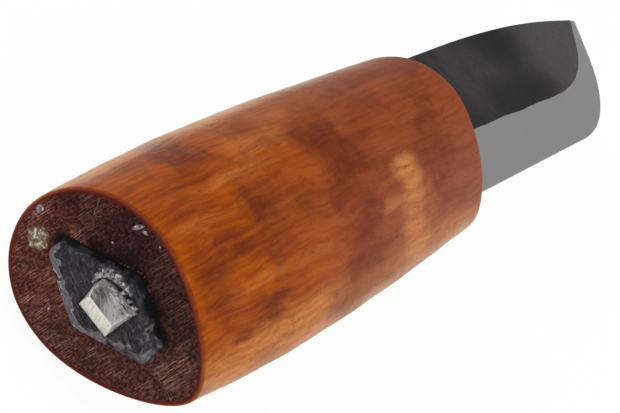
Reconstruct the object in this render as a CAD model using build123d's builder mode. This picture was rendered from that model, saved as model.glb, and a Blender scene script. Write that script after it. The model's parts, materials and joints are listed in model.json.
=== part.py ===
from build123d import *
from math import radians, tan
import os

# A hand-made whittling knife. A forged blade with a through tang is bedded in a handle
# carved from one block of burl, and the tang's end is peened over a lozenge-shaped washer.
#
# Millimetres. +X runs from the butt to the blade's point, +Y from the cutting edge to the
# spine, and +Z is the normal of the middle plane. The knife lies on its side on Z = 0, and
# X = 0 is the middle of its whole length.

# Handle: heights along Y at the butt, the front and two even steps between them, and
# thicknesses along Z at both ends. The section is an egg with its full end toward the spine,
# and its fullness is how far the widest line lies above the middle, as a share of the height.
handle_length = 104.5
butt_height = 28.0
rear_height = 29.9
fore_height = 28.9
front_height = 26.4
butt_thickness = 19.4
front_thickness = 21.5
fullness = 0.085
handle_bands = 12
butt_ease = 0.4
front_round = 1.4

# Blade: the knee, where the spine starts to fall, and the corner under the belly's arc are
# each measured from the shoulders along X and from the axis along Y
blade_length = 96.5
shoulder_thickness = 3.35
waist_thickness = 3.05
point_thickness = 0.6
shoulder_spine_y = 11.7
shoulder_edge_y = -10.0
knee_x = 34.0
knee_y = 10.95
belly_x = 77.8
belly_y = -11.35
belly_radius = 42.0
point_y = 6.05
taper_start = 60.0
bevel_angle = 11.0
edge_land = 0.12

# Tang: a flat taper through the handle, then a square stem through the washer
tang_root_height = 12.5
tang_root_y = 1.0
tang_end_height = 4.2
tang_end_thickness = 3.7
tang_end_y = -0.2
tang_end_z = 0.3

# Peened head of the tang: hammered over the hole's rim, a little to one side of the stem, with
# its flank on -Z filed back to a slope
head_height = 4.9
head_thickness = 4.9
head_rise = 1.7
head_shift = -0.35
head_draw = 0.35
head_filed = 2.2
head_ease = 0.25

# Washer: a lozenge cut by hand, with blunt ends and its side corners out of line. The flanks
# on -Z slope out to the wood, the rest are nearly square to it. Places are from the axis.
washer_top_y = 8.8
washer_bottom_y = -7.4
washer_right_y = -0.2
washer_left_y = 1.0
washer_right_z = 4.7
washer_left_z = -5.5
washer_top_flat = 2.4
washer_top_z = -0.7
washer_bottom_flat = 3.3
washer_bottom_z = -0.2
washer_thickness = 1.3
washer_slope = 1.1
washer_draw = 0.2
hole_clearance = 0.1

# Bedding between the tang and the bore, thin at the front and thicker at the butt
front_bedding = 0.15
butt_bedding = 0.8

# Places along X, worked out from the lengths, and the height of the knife's middle plane
overall_length = head_rise + washer_thickness + handle_length + blade_length
head_x = -overall_length / 2
washer_x = head_x + head_rise
butt_x = washer_x + washer_thickness
front_x = butt_x + handle_length
point_x = front_x + blade_length
axis_z = front_thickness / 2


def cross_plane(x):
    """The plane across the knife at x: its own x runs along +Y and its own y along +Z."""
    return Plane(origin=(x, 0, axis_z), x_dir=(0, 1, 0), z_dir=(1, 0, 0))


# ---------------------------------------------------------------- handle
def handle_height(share):
    """Height at a share of the handle's length: the cubic through its four heights."""
    sizes = (butt_height, rear_height, fore_height, front_height)
    places = (0, 1 / 3, 2 / 3, 1)
    total = 0
    for size, place in zip(sizes, places):
        weight = 1
        for other in places:
            if other != place:
                weight *= (share - other) / (place - other)
        total += size * weight
    return total


def egg_curves(height, thickness):
    """Control points of the section's four curves, round from the spine side.

    Each arm is a share of its quarter's width: near a circle's at no fullness, longer on the
    full side and shorter toward the narrow end as the fullness grows.
    """
    round_share = 0.53
    spine_arm = (round_share - 0.6 * fullness) * thickness / 2
    upper_arm = (round_share + 1.4 * fullness) * (0.5 - fullness) * height
    lower_arm = (round_share - 1.3 * fullness) * (0.5 + fullness) * height
    edge_arm = (round_share - 1.65 * fullness) * thickness / 2
    spine_y = height / 2
    edge_y = -height / 2
    wide_y = fullness * height
    curves = []
    for side in (1, -1):
        wide_z = side * thickness / 2
        upper = [
            (spine_y, 0),
            (spine_y, side * spine_arm),
            (wide_y + upper_arm, wide_z),
            (wide_y, wide_z),
        ]
        lower = [
            (wide_y, wide_z),
            (wide_y - lower_arm, wide_z),
            (edge_y, side * edge_arm),
            (edge_y, 0),
        ]
        curves += [upper, lower] if side > 0 else [lower[::-1], upper[::-1]]
    return curves


with BuildPart() as handle:
    # Carved in narrow bands, each turned under a degree from the next
    for band in range(handle_bands + 1):
        share = band / handle_bands
        thickness = butt_thickness + (front_thickness - butt_thickness) * share
        with BuildSketch(cross_plane(butt_x + handle_length * share)):
            with BuildLine():
                for curve in egg_curves(handle_height(share), thickness):
                    Bezier(*curve)
            make_face()
    loft(ruled=True)
    fillet(handle.faces().sort_by(Axis.X)[-1].edges(), front_round)
    fillet(handle.faces().sort_by(Axis.X)[0].edges(), butt_ease)
    # The bore for the tang and its bedding: nearly square at the butt, tall at the front
    with BuildSketch(cross_plane(butt_x)):
        with Locations((tang_end_y, tang_end_z)):
            Rectangle(tang_end_height + 2 * butt_bedding, tang_end_thickness + 2 * butt_bedding)
    with BuildSketch(cross_plane(front_x)):
        with Locations((tang_root_y, 0)):
            Rectangle(tang_root_height + 2 * front_bedding, shoulder_thickness + 2 * front_bedding)
    loft(ruled=True, mode=Mode.SUBTRACT)
handle.part.label = "handle"


# ---------------------------------------------------------------- blade
# The edge and the front run straight on either side of the belly's arc. The ground envelope
# leans inward from them at the bevel angle on both sides of the middle plane.
edge_back = Vector(front_x, shoulder_edge_y)
edge_corner = Vector(front_x + belly_x, belly_y)
point = Vector(point_x, point_y)
edge_way = (edge_corner - edge_back).normalized()
front_way = (point - edge_corner).normalized()
edge_inward = Vector(-edge_way.Y, edge_way.X)
front_inward = Vector(-front_way.Y, front_way.X)
overrun = 15.0
clear_y = shoulder_spine_y + 2 * overrun


def grind_corners(inset):
    """The back, belly corner and front of the ground edge, moved inward by inset."""
    back = edge_back - edge_way * overrun + edge_inward * inset
    share = inset / (1 + edge_inward.dot(front_inward))
    corner = edge_corner + (edge_inward + front_inward) * share
    front = point + front_way * 2 * overrun + front_inward * inset
    return back, corner, front


envelope_half = shoulder_thickness / 2 + 1.0
envelope_inset = (envelope_half - edge_land / 2) / tan(radians(bevel_angle))

with BuildPart() as ground_envelope:
    for height, inset in ((0, 0), (edge_land / 2, 0), (envelope_half, envelope_inset)):
        back, corner, front = grind_corners(inset)
        with BuildSketch(Plane.XY.offset(axis_z + height)):
            with BuildLine():
                FilletPolyline(back, corner, front, radius=belly_radius - inset)
                Polyline(front, (front.X, clear_y), (back.X, clear_y), back)
            make_face()
    loft(ruled=True)
    mirror(about=Plane.XY.offset(axis_z))

with BuildPart() as blade:
    # The forged bar: its spine is straight to the knee, then falls in an arc to the point
    spine_back = (front_x, shoulder_spine_y)
    knee = (front_x + knee_x, knee_y)
    with BuildSketch(Plane.XY.offset(axis_z)):
        with BuildLine():
            Line(spine_back, knee)
            TangentArc(knee, point, tangent=(knee_x, knee_y - shoulder_spine_y))
            Polyline(point, (point_x, -clear_y), (front_x, -clear_y), spine_back)
        make_face()
    extrude(amount=shoulder_thickness / 2, both=True)
    # The flats draw in slightly to the waist, then curve in to the thin point
    waist_x = front_x + taper_start
    draw_in = (waist_thickness - shoulder_thickness) / 2
    with BuildSketch(Plane.XZ):
        with BuildLine():
            for side in (1, -1):
                shoulder = (front_x, axis_z + side * shoulder_thickness / 2)
                waist = (waist_x, axis_z + side * waist_thickness / 2)
                tip = (point_x, axis_z + side * point_thickness / 2)
                Line(shoulder, waist)
                TangentArc(waist, tip, tangent=(taper_start, side * draw_in))
                Line((front_x, axis_z), shoulder)
                Line((point_x, axis_z), tip)
        make_face()
    extrude(amount=clear_y, both=True, mode=Mode.INTERSECT)
    add(ground_envelope.part, mode=Mode.INTERSECT)
    # The tang: a taper in the handle, then the stem that goes through the washer
    with BuildSketch(cross_plane(front_x)):
        with Locations((tang_root_y, 0)):
            Rectangle(tang_root_height, shoulder_thickness)
    with BuildSketch(cross_plane(butt_x)):
        with Locations((tang_end_y, tang_end_z)):
            Rectangle(tang_end_height, tang_end_thickness)
    loft(ruled=True)
    with BuildSketch(cross_plane(washer_x)):
        with Locations((tang_end_y, tang_end_z)):
            Rectangle(tang_end_height, tang_end_thickness)
    extrude(amount=washer_thickness)
    # The peened head, spread by the hammer over the rim of the washer's hole
    head_z = tang_end_z + head_shift
    with BuildSketch(cross_plane(washer_x)):
        with Locations((tang_end_y, head_z)):
            Rectangle(head_height, head_thickness)
    with BuildSketch(cross_plane(head_x)):
        with Locations((tang_end_y, head_z + (head_filed - head_draw) / 2)):
            Rectangle(head_height - 2 * head_draw, head_thickness - head_filed - head_draw)
    loft(ruled=True)
    fillet(blade.faces().sort_by(Axis.X)[0].edges(), head_ease)
blade.part.label = "blade"


# ---------------------------------------------------------------- tang washer
def washer_corners(draw, slope):
    """The lozenge's corners, drawn in by draw all round and by slope as well on -Z."""
    top_y = washer_top_y - draw
    bottom_y = washer_bottom_y + draw
    return (
        (top_y, washer_top_z - washer_top_flat / 2 + slope),
        (top_y, washer_top_z + washer_top_flat / 2),
        (washer_right_y, washer_right_z - draw),
        (bottom_y, washer_bottom_z + washer_bottom_flat / 2),
        (bottom_y, washer_bottom_z - washer_bottom_flat / 2 + slope),
        (washer_left_y, washer_left_z + slope),
    )


with BuildPart() as tang_washer:
    for x, draw, slope in ((washer_x, washer_draw, washer_slope), (butt_x, 0, 0)):
        with BuildSketch(cross_plane(x)):
            with BuildLine():
                Polyline(*washer_corners(draw, slope), close=True)
            make_face()
    loft(ruled=True)
    with BuildSketch(cross_plane(washer_x)):
        with Locations((tang_end_y, tang_end_z)):
            Rectangle(tang_end_height + 2 * hole_clearance, tang_end_thickness + 2 * hole_clearance)
    extrude(amount=washer_thickness, mode=Mode.SUBTRACT)
tang_washer.part.label = "tang_washer"


# ---------------------------------------------------------------- tang bedding
with BuildPart() as tang_bedding:
    # The bore's shape, less the tang's
    with BuildSketch(cross_plane(butt_x)):
        with Locations((tang_end_y, tang_end_z)):
            Rectangle(tang_end_height + 2 * butt_bedding, tang_end_thickness + 2 * butt_bedding)
    with BuildSketch(cross_plane(front_x)):
        with Locations((tang_root_y, 0)):
            Rectangle(tang_root_height + 2 * front_bedding, shoulder_thickness + 2 * front_bedding)
    loft(ruled=True)
    with BuildSketch(cross_plane(butt_x)):
        with Locations((tang_end_y, tang_end_z)):
            Rectangle(tang_end_height, tang_end_thickness)
    with BuildSketch(cross_plane(front_x)):
        with Locations((tang_root_y, 0)):
            Rectangle(tang_root_height, shoulder_thickness)
    loft(ruled=True, mode=Mode.SUBTRACT)
tang_bedding.part.label = "tang_bedding"


os.makedirs("parts", exist_ok=True)
export_step(handle.part, "parts/handle.step")
export_step(blade.part, "parts/blade.step")
export_step(tang_washer.part, "parts/tang_washer.step")
export_step(tang_bedding.part, "parts/tang_bedding.step")
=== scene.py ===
"""Looks of a hand-made whittling knife: burl handle, forged blade, lozenge washer and peened tang."""

import json
import logging
import math
from dataclasses import dataclass
from enum import Enum
from typing import Sequence, Union

import bmesh
import bpy
import numpy as np
from mathutils import Matrix, Vector, noise

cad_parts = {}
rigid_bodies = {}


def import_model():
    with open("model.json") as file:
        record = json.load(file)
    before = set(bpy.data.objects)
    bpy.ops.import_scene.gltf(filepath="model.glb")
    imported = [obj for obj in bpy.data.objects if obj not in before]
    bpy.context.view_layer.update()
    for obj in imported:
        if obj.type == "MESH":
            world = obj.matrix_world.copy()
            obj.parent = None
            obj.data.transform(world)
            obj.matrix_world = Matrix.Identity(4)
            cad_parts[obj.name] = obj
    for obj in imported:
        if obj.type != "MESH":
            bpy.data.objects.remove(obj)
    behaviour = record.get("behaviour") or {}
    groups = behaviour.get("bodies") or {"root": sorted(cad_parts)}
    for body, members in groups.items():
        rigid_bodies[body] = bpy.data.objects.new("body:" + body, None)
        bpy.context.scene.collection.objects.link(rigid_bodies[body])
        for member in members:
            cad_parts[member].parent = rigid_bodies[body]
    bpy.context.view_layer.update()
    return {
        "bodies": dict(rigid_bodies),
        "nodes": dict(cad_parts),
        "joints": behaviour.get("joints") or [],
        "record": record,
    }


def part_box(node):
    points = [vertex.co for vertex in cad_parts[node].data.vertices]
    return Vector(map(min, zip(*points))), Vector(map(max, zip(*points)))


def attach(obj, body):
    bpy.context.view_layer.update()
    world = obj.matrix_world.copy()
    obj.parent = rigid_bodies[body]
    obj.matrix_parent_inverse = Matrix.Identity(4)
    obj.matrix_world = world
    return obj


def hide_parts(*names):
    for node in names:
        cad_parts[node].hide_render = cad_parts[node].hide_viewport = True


MM = 0.001
LOG = logging.getLogger("whittling_knife")

Socket = bpy.types.NodeSocket
Feed = Union[Socket, float, Sequence[float]]
Colour = tuple[float, float, float]
Direction = tuple[float, float, float]
Ways = tuple[Direction, Direction]
Flat = tuple[float, float]
Square = tuple[float, float, float, float]


class Slot(Enum):
    """The record's material slots."""

    BLADE = "blade_steel"
    WOOD = "burl_wood"
    WASHER = "washer_steel"
    RESIN = "bedding_resin"


class Node(Enum):
    """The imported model's nodes."""

    BLADE = "blade"
    HANDLE = "handle"
    WASHER = "tang_washer"
    BEDDING = "tang_bedding"


# ---- shared places and sums


@dataclass(frozen=True)
class Places:
    """Stations along the knife and the height of its middle plane, in millimetres.

    Attributes:
        head_x: Outer face of the peened head.
        washer_x: Outer face of the washer.
        butt_x: Butt face of the handle.
        front_x: Front face of the handle.
        point_x: Point of the blade.
        axis_z: Height of the middle plane above the floor.
    """

    head_x: float
    washer_x: float
    butt_x: float
    front_x: float
    point_x: float
    axis_z: float

    @classmethod
    def from_frame(cls) -> "Places":
        """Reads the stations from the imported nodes' boxes.

        Returns:
            The stations in millimetres.
        """
        blade_low, blade_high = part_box(Node.BLADE.value)
        handle_low, handle_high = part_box(Node.HANDLE.value)
        washer_low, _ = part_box(Node.WASHER.value)
        return cls(
            head_x=blade_low[0] / MM,
            washer_x=washer_low[0] / MM,
            butt_x=handle_low[0] / MM,
            front_x=handle_high[0] / MM,
            point_x=blade_high[0] / MM,
            axis_z=(handle_low[2] + handle_high[2]) / 2 / MM,
        )


def smooth(value: float) -> float:
    """Eases a share from 0 to 1, flat at both ends."""
    value = min(1.0, max(0.0, value))
    return value * value * (3 - 2 * value)


def waver(x: float, y: float, z: float, size: float, seed: float = 0.0) -> float:
    """Smooth noise of about -1 to 1 whose lumps are about size across."""
    return noise.noise(Vector((x / size + seed, y / size - seed, z / size + 2 * seed)))


def bezier(points: Sequence[tuple[float, float]], count: int) -> np.ndarray:
    """Points along a cubic curve.

    Args:
        points: The four control points.
        count: How many points to give.

    Returns:
        An array of count rows of two coordinates.
    """
    control = np.array(points, dtype=float)
    share = np.linspace(0, 1, count)[:, None]
    rest = 1 - share
    return (
        rest**3 * control[0]
        + 3 * rest**2 * share * control[1]
        + 3 * rest * share**2 * control[2]
        + share**3 * control[3]
    )


def evenly(path: np.ndarray, count: int) -> np.ndarray:
    """Spaces points evenly along an open path.

    Args:
        path: The path's points, in rows.
        count: How many points to give, both ends among them.

    Returns:
        An array of count rows.
    """
    steps = np.linalg.norm(np.diff(path, axis=0), axis=1)
    along = np.concatenate([[0.0], np.cumsum(steps)])
    want = np.linspace(0, along[-1], count)
    return np.stack([np.interp(want, along, path[:, k]) for k in range(path.shape[1])], axis=1)


def closed_outline(corners: Sequence[tuple[float, float]], per_side: int) -> np.ndarray:
    """Points round a polygon, the same number on each side.

    Args:
        corners: The polygon's corners in order.
        per_side: Points on each side, its first corner among them.

    Returns:
        An array with per_side rows for each corner.
    """
    rows = []
    for index, corner in enumerate(corners):
        after = corners[(index + 1) % len(corners)]
        for step in range(per_side):
            share = step / per_side
            rows.append([corner[k] + (after[k] - corner[k]) * share for k in range(2)])
    return np.array(rows)


def eased(ring: np.ndarray, passes: int) -> np.ndarray:
    """Evens out a closed ring of values or points, each with its two neighbours.

    Args:
        ring: The values or points in order.
        passes: How many times to even them out.

    Returns:
        An array of the same shape.
    """
    for _ in range(passes):
        ring = (np.roll(ring, 1, axis=0) + 2 * ring + np.roll(ring, -1, axis=0)) / 4
    return ring


def square_hole(square: Square, outline: np.ndarray) -> np.ndarray:
    """Points round a square hole, one toward each point of an outline.

    Args:
        square: The hole's middle, its height and its thickness.
        outline: The outline whose points it faces.

    Returns:
        Rows of height and thickness from the axis.
    """
    middle = np.array(square[:2])
    away = outline - middle
    reach = np.max(np.abs(away) / (np.array(square[2:]) / 2), axis=1)
    return middle + away / reach[:, None]


# ---- mesh building


class RingMesh:
    """A mesh made from rings of points that are joined one to the next."""

    def __init__(self, name: str) -> None:
        """Starts an empty mesh.

        Args:
            name: The piece's name.
        """
        self.name = name
        self.points: list[tuple[float, float, float]] = []
        self.faces: list[tuple[int, ...]] = []
        self.marks: dict[str, list[float]] = {}
        self.rings: list[list[int]] = []

    def ring(self, rows: Sequence[Sequence[float]], **marks: Sequence[float]) -> None:
        """Adds a ring of points in millimetres and joins it to the last one.

        Args:
            rows: The ring's points.
            **marks: A value for each point, for each named mark.
        """
        start = len(self.points)
        self.points += [(row[0] * MM, row[1] * MM, row[2] * MM) for row in rows]
        for name in set(marks) | set(self.marks):
            held = self.marks.setdefault(name, [0.0] * start)
            held += list(marks.get(name, [0.0] * len(rows)))
        self.rings.append(list(range(start, start + len(rows))))
        if len(self.rings) > 1:
            self.join(self.rings[-2], self.rings[-1])

    def join(self, first: Sequence[int], second: Sequence[int]) -> None:
        """Bridges two rings with the same number of points.

        Args:
            first: One ring's points, by number.
            second: The other ring's.
        """
        count = len(first)
        for k in range(count):
            n = (k + 1) % count
            self.faces.append((first[k], first[n], second[n], second[k]))

    def close(self) -> None:
        """Bridges the last ring to the first one."""
        self.join(self.rings[-1], self.rings[0])

    def cap(self, ring: int) -> None:
        """Fills one ring with a fan of triangles round its middle point.

        Args:
            ring: The ring's number; 0 is the first.
        """
        loop = self.rings[ring]
        middle = np.mean([self.points[k] for k in loop], axis=0)
        centre = len(self.points)
        self.points.append(tuple(float(v) for v in middle))
        for name, held in self.marks.items():
            held.append(float(np.mean([held[k] for k in loop])))
        turn = 1 if ring == 0 else -1
        for k, this in enumerate(loop):
            after = loop[(k + 1) % len(loop)]
            self.faces.append((this, centre, after) if turn > 0 else (this, after, centre))

    def build(self, crease: float = 40.0) -> bpy.types.Object:
        """Makes the object, faces outward, smooth but for edges sharper than crease.

        Args:
            crease: The angle in degrees from which an edge stays sharp.

        Returns:
            The object, linked to the scene.
        """
        mesh = bpy.data.meshes.new(self.name)
        mesh.from_pydata(self.points, [], self.faces)
        for name, values in self.marks.items():
            layer = mesh.attributes.new(name, "FLOAT", "POINT")
            layer.data.foreach_set("value", values)
        mesh.validate()
        mesh.update()
        mesh.shade_smooth()
        mesh.set_sharp_from_angle(angle=math.radians(crease))
        piece = bpy.data.objects.new(self.name, mesh)
        bpy.context.collection.objects.link(piece)
        work = bmesh.new()
        work.from_mesh(mesh)
        bmesh.ops.recalc_face_normals(work, faces=work.faces)
        work.to_mesh(mesh)
        work.free()
        return piece


def dress(piece: bpy.types.Object, finish: bpy.types.Material) -> bpy.types.Object:
    """Gives a piece its material and its body.

    Args:
        piece: The piece to finish.
        finish: Its material.

    Returns:
        The same piece.
    """
    piece.data.materials.clear()
    piece.data.materials.append(finish)
    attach(piece, "root")
    LOG.info("built %s", piece.name)
    return piece


# ---- shader benches


class Bench:
    """Places and joins shader nodes in one tree."""

    def __init__(self, tree: bpy.types.NodeTree) -> None:
        """Takes the tree to work in.

        Args:
            tree: A material's, world's or group's tree.
        """
        self.tree = tree

    def add(self, kind: str, **settings: object) -> bpy.types.Node:
        """Places a node and sets its properties.

        Args:
            kind: The node's type.
            **settings: Its properties.

        Returns:
            The node.
        """
        node = self.tree.nodes.new(kind)
        for name, value in settings.items():
            setattr(node, name, value)
        return node

    def feed(self, socket: Socket, value: Feed) -> None:
        """Links a socket to another one, or sets its value.

        Args:
            socket: The input to feed.
            value: An output socket, a number or a row of numbers.
        """
        if isinstance(value, bpy.types.NodeSocket):
            self.tree.links.new(value, socket)
        elif socket.type == "RGBA" and not isinstance(value, (int, float)) and len(value) == 3:
            socket.default_value = (*value, 1.0)
        else:
            socket.default_value = value

    def math(self, operation: str, *values: Feed, clamp: bool = False) -> Socket:
        """Adds a Math node and gives its result.

        Args:
            operation: The sum to do.
            *values: What it works on.
            clamp: Whether the result is held from 0 to 1.

        Returns:
            The result's socket.
        """
        node = self.add("ShaderNodeMath", operation=operation, use_clamp=clamp)
        for socket, value in zip(node.inputs, values):
            self.feed(socket, value)
        return node.outputs[0]

    def vector(self, operation: str, *values: Feed) -> Socket:
        """Adds a Vector Math node and gives its vector result.

        Args:
            operation: The sum to do.
            *values: What it works on.

        Returns:
            The result's socket.
        """
        node = self.add("ShaderNodeVectorMath", operation=operation)
        for socket, value in zip(node.inputs, values):
            self.feed(socket, value)
        return node.outputs["Vector"]

    def dot(self, first: Feed, second: Feed) -> Socket:
        """Gives the dot product of two vectors.

        Args:
            first: One vector.
            second: The other.

        Returns:
            The result's socket.
        """
        node = self.add("ShaderNodeVectorMath", operation="DOT_PRODUCT")
        self.feed(node.inputs[0], first)
        self.feed(node.inputs[1], second)
        return node.outputs["Value"]

    def length(self, value: Feed) -> Socket:
        """Gives a vector's length.

        Args:
            value: The vector.

        Returns:
            The result's socket.
        """
        node = self.add("ShaderNodeVectorMath", operation="LENGTH")
        self.feed(node.inputs[0], value)
        return node.outputs["Value"]

    def noise(
        self,
        point: Feed,
        scale: Feed = 1.0,
        detail: float = 2.0,
        rough: float = 0.5,
        swirl: float = 0.0,
    ) -> bpy.types.Node:
        """Adds a Noise node over a point.

        Args:
            point: Where to read the noise.
            scale: How many lumps to a unit.
            detail: How many finer layers.
            rough: How strong the finer layers are.
            swirl: How far the noise distorts itself.

        Returns:
            The node, with its Fac and Color outputs.
        """
        node = self.add("ShaderNodeTexNoise")
        self.feed(node.inputs["Vector"], point)
        self.feed(node.inputs["Scale"], scale)
        node.inputs["Detail"].default_value = detail
        node.inputs["Roughness"].default_value = rough
        node.inputs["Distortion"].default_value = swirl
        return node

    def spread(
        self, value: Feed, low: Feed, high: Feed, to_low: float = 0.0, to_high: float = 1.0
    ) -> Socket:
        """Maps a range to another with eased ends.

        Args:
            value: The value to map.
            low: The value that gives to_low.
            high: The value that gives to_high.
            to_low: The result at low.
            to_high: The result at high.

        Returns:
            The mapped value's socket.
        """
        node = self.add("ShaderNodeMapRange", interpolation_type="SMOOTHSTEP")
        for socket, item in zip(node.inputs, (value, low, high, to_low, to_high)):
            self.feed(socket, item)
        return node.outputs["Result"]

    def mix(self, share: Feed, first: Feed, second: Feed, blend: str = "MIX") -> Socket:
        """Mixes two colours.

        Args:
            share: How much of the second.
            first: The colour underneath.
            second: The colour on top.
            blend: The blend type.

        Returns:
            The mixed colour's socket.
        """
        node = self.add("ShaderNodeMix", data_type="RGBA", blend_type=blend)
        node.clamp_factor = True
        self.feed(node.inputs["Factor"], share)
        self.feed(node.inputs[6], first)
        self.feed(node.inputs[7], second)
        return node.outputs[2]

    def times(self, first: Feed, second: Feed) -> Socket:
        """Gives the product of two values."""
        return self.math("MULTIPLY", first, second)

    def over(self, colour: Feed, top: Feed, mask: Feed, share: Feed) -> Socket:
        """Lays a colour over another one where a mask shows, up to a share."""
        return self.mix(self.times(mask, share), colour, top)

    def tint(self, colour: Feed, by: Colour, mask: Feed) -> Socket:
        """Multiplies a colour by another one where a mask shows."""
        return self.mix(mask, colour, self.mix(1.0, colour, by, "MULTIPLY"))

    def window(self, value: Feed, low: Flat, high: Flat) -> Socket:
        """Gives 1 between two eased borders, each an outer and an inner value."""
        return self.times(self.spread(value, *high), self.spread(value, *low))

    def between(self, share: Feed, first: Feed, second: Feed) -> Socket:
        """Mixes two values.

        Args:
            share: How much of the second.
            first: The value at 0.
            second: The value at 1.

        Returns:
            The result's socket.
        """
        node = self.add("ShaderNodeMix", data_type="FLOAT")
        for socket, value in zip((0, 2, 3), (share, first, second)):
            self.feed(node.inputs[socket], value)
        return node.outputs[0]

    def parts(self, point: Feed) -> "bpy.types.bpy_prop_collection":
        """Splits a point into its X, Y and Z.

        Args:
            point: The point to split.

        Returns:
            The outputs, named X, Y and Z.
        """
        node = self.add("ShaderNodeSeparateXYZ")
        self.feed(node.inputs[0], point)
        return node.outputs

    def group(self, tree: bpy.types.NodeTree, **values: Feed) -> bpy.types.Node:
        """Places a shared group, with spaces in its sockets' names written as underscores.

        Args:
            tree: The group.
            **values: What each input is fed.

        Returns:
            The node.
        """
        node = self.add("ShaderNodeGroup", node_tree=tree)
        for name, value in values.items():
            self.feed(node.inputs[name.replace("_", " ")], value)
        return node

    def mark(self, name: str) -> Socket:
        """Reads a mark stored on the mesh."""
        node = self.add("ShaderNodeAttribute", attribute_name=name)
        return node.outputs["Fac"]

    def point_mm(self) -> Socket:
        """The place on the piece, in millimetres.

        Returns:
            The point's socket.
        """
        where = self.add("ShaderNodeTexCoord")
        node = self.add("ShaderNodeVectorMath", operation="SCALE")
        self.feed(node.inputs[0], where.outputs["Object"])
        node.inputs["Scale"].default_value = 1 / MM
        return node.outputs["Vector"]


def new_group(
    name: str, inputs: Sequence[tuple[str, str, object]], outputs: Sequence[tuple[str, str]]
) -> tuple[bpy.types.NodeTree, Bench, bpy.types.Node, bpy.types.Node]:
    """Starts a shader node group with named sockets.

    Args:
        name: The group's name.
        inputs: Each input's name, socket kind and default.
        outputs: Each output's name and socket kind.

    Returns:
        The tree, a bench in it, and its input and output nodes.
    """
    tree = bpy.data.node_groups.new(name, "ShaderNodeTree")
    for label, kind, default in inputs:
        socket = tree.interface.new_socket(label, in_out="INPUT", socket_type=kind)
        if default is not None:
            socket.default_value = default
    for label, kind in outputs:
        tree.interface.new_socket(label, in_out="OUTPUT", socket_type=kind)
    bench = Bench(tree)
    return tree, bench, bench.add("NodeGroupInput"), bench.add("NodeGroupOutput")


FLOAT = "NodeSocketFloat"
VECTOR = "NodeSocketVector"
COLOUR = "NodeSocketColor"


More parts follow.
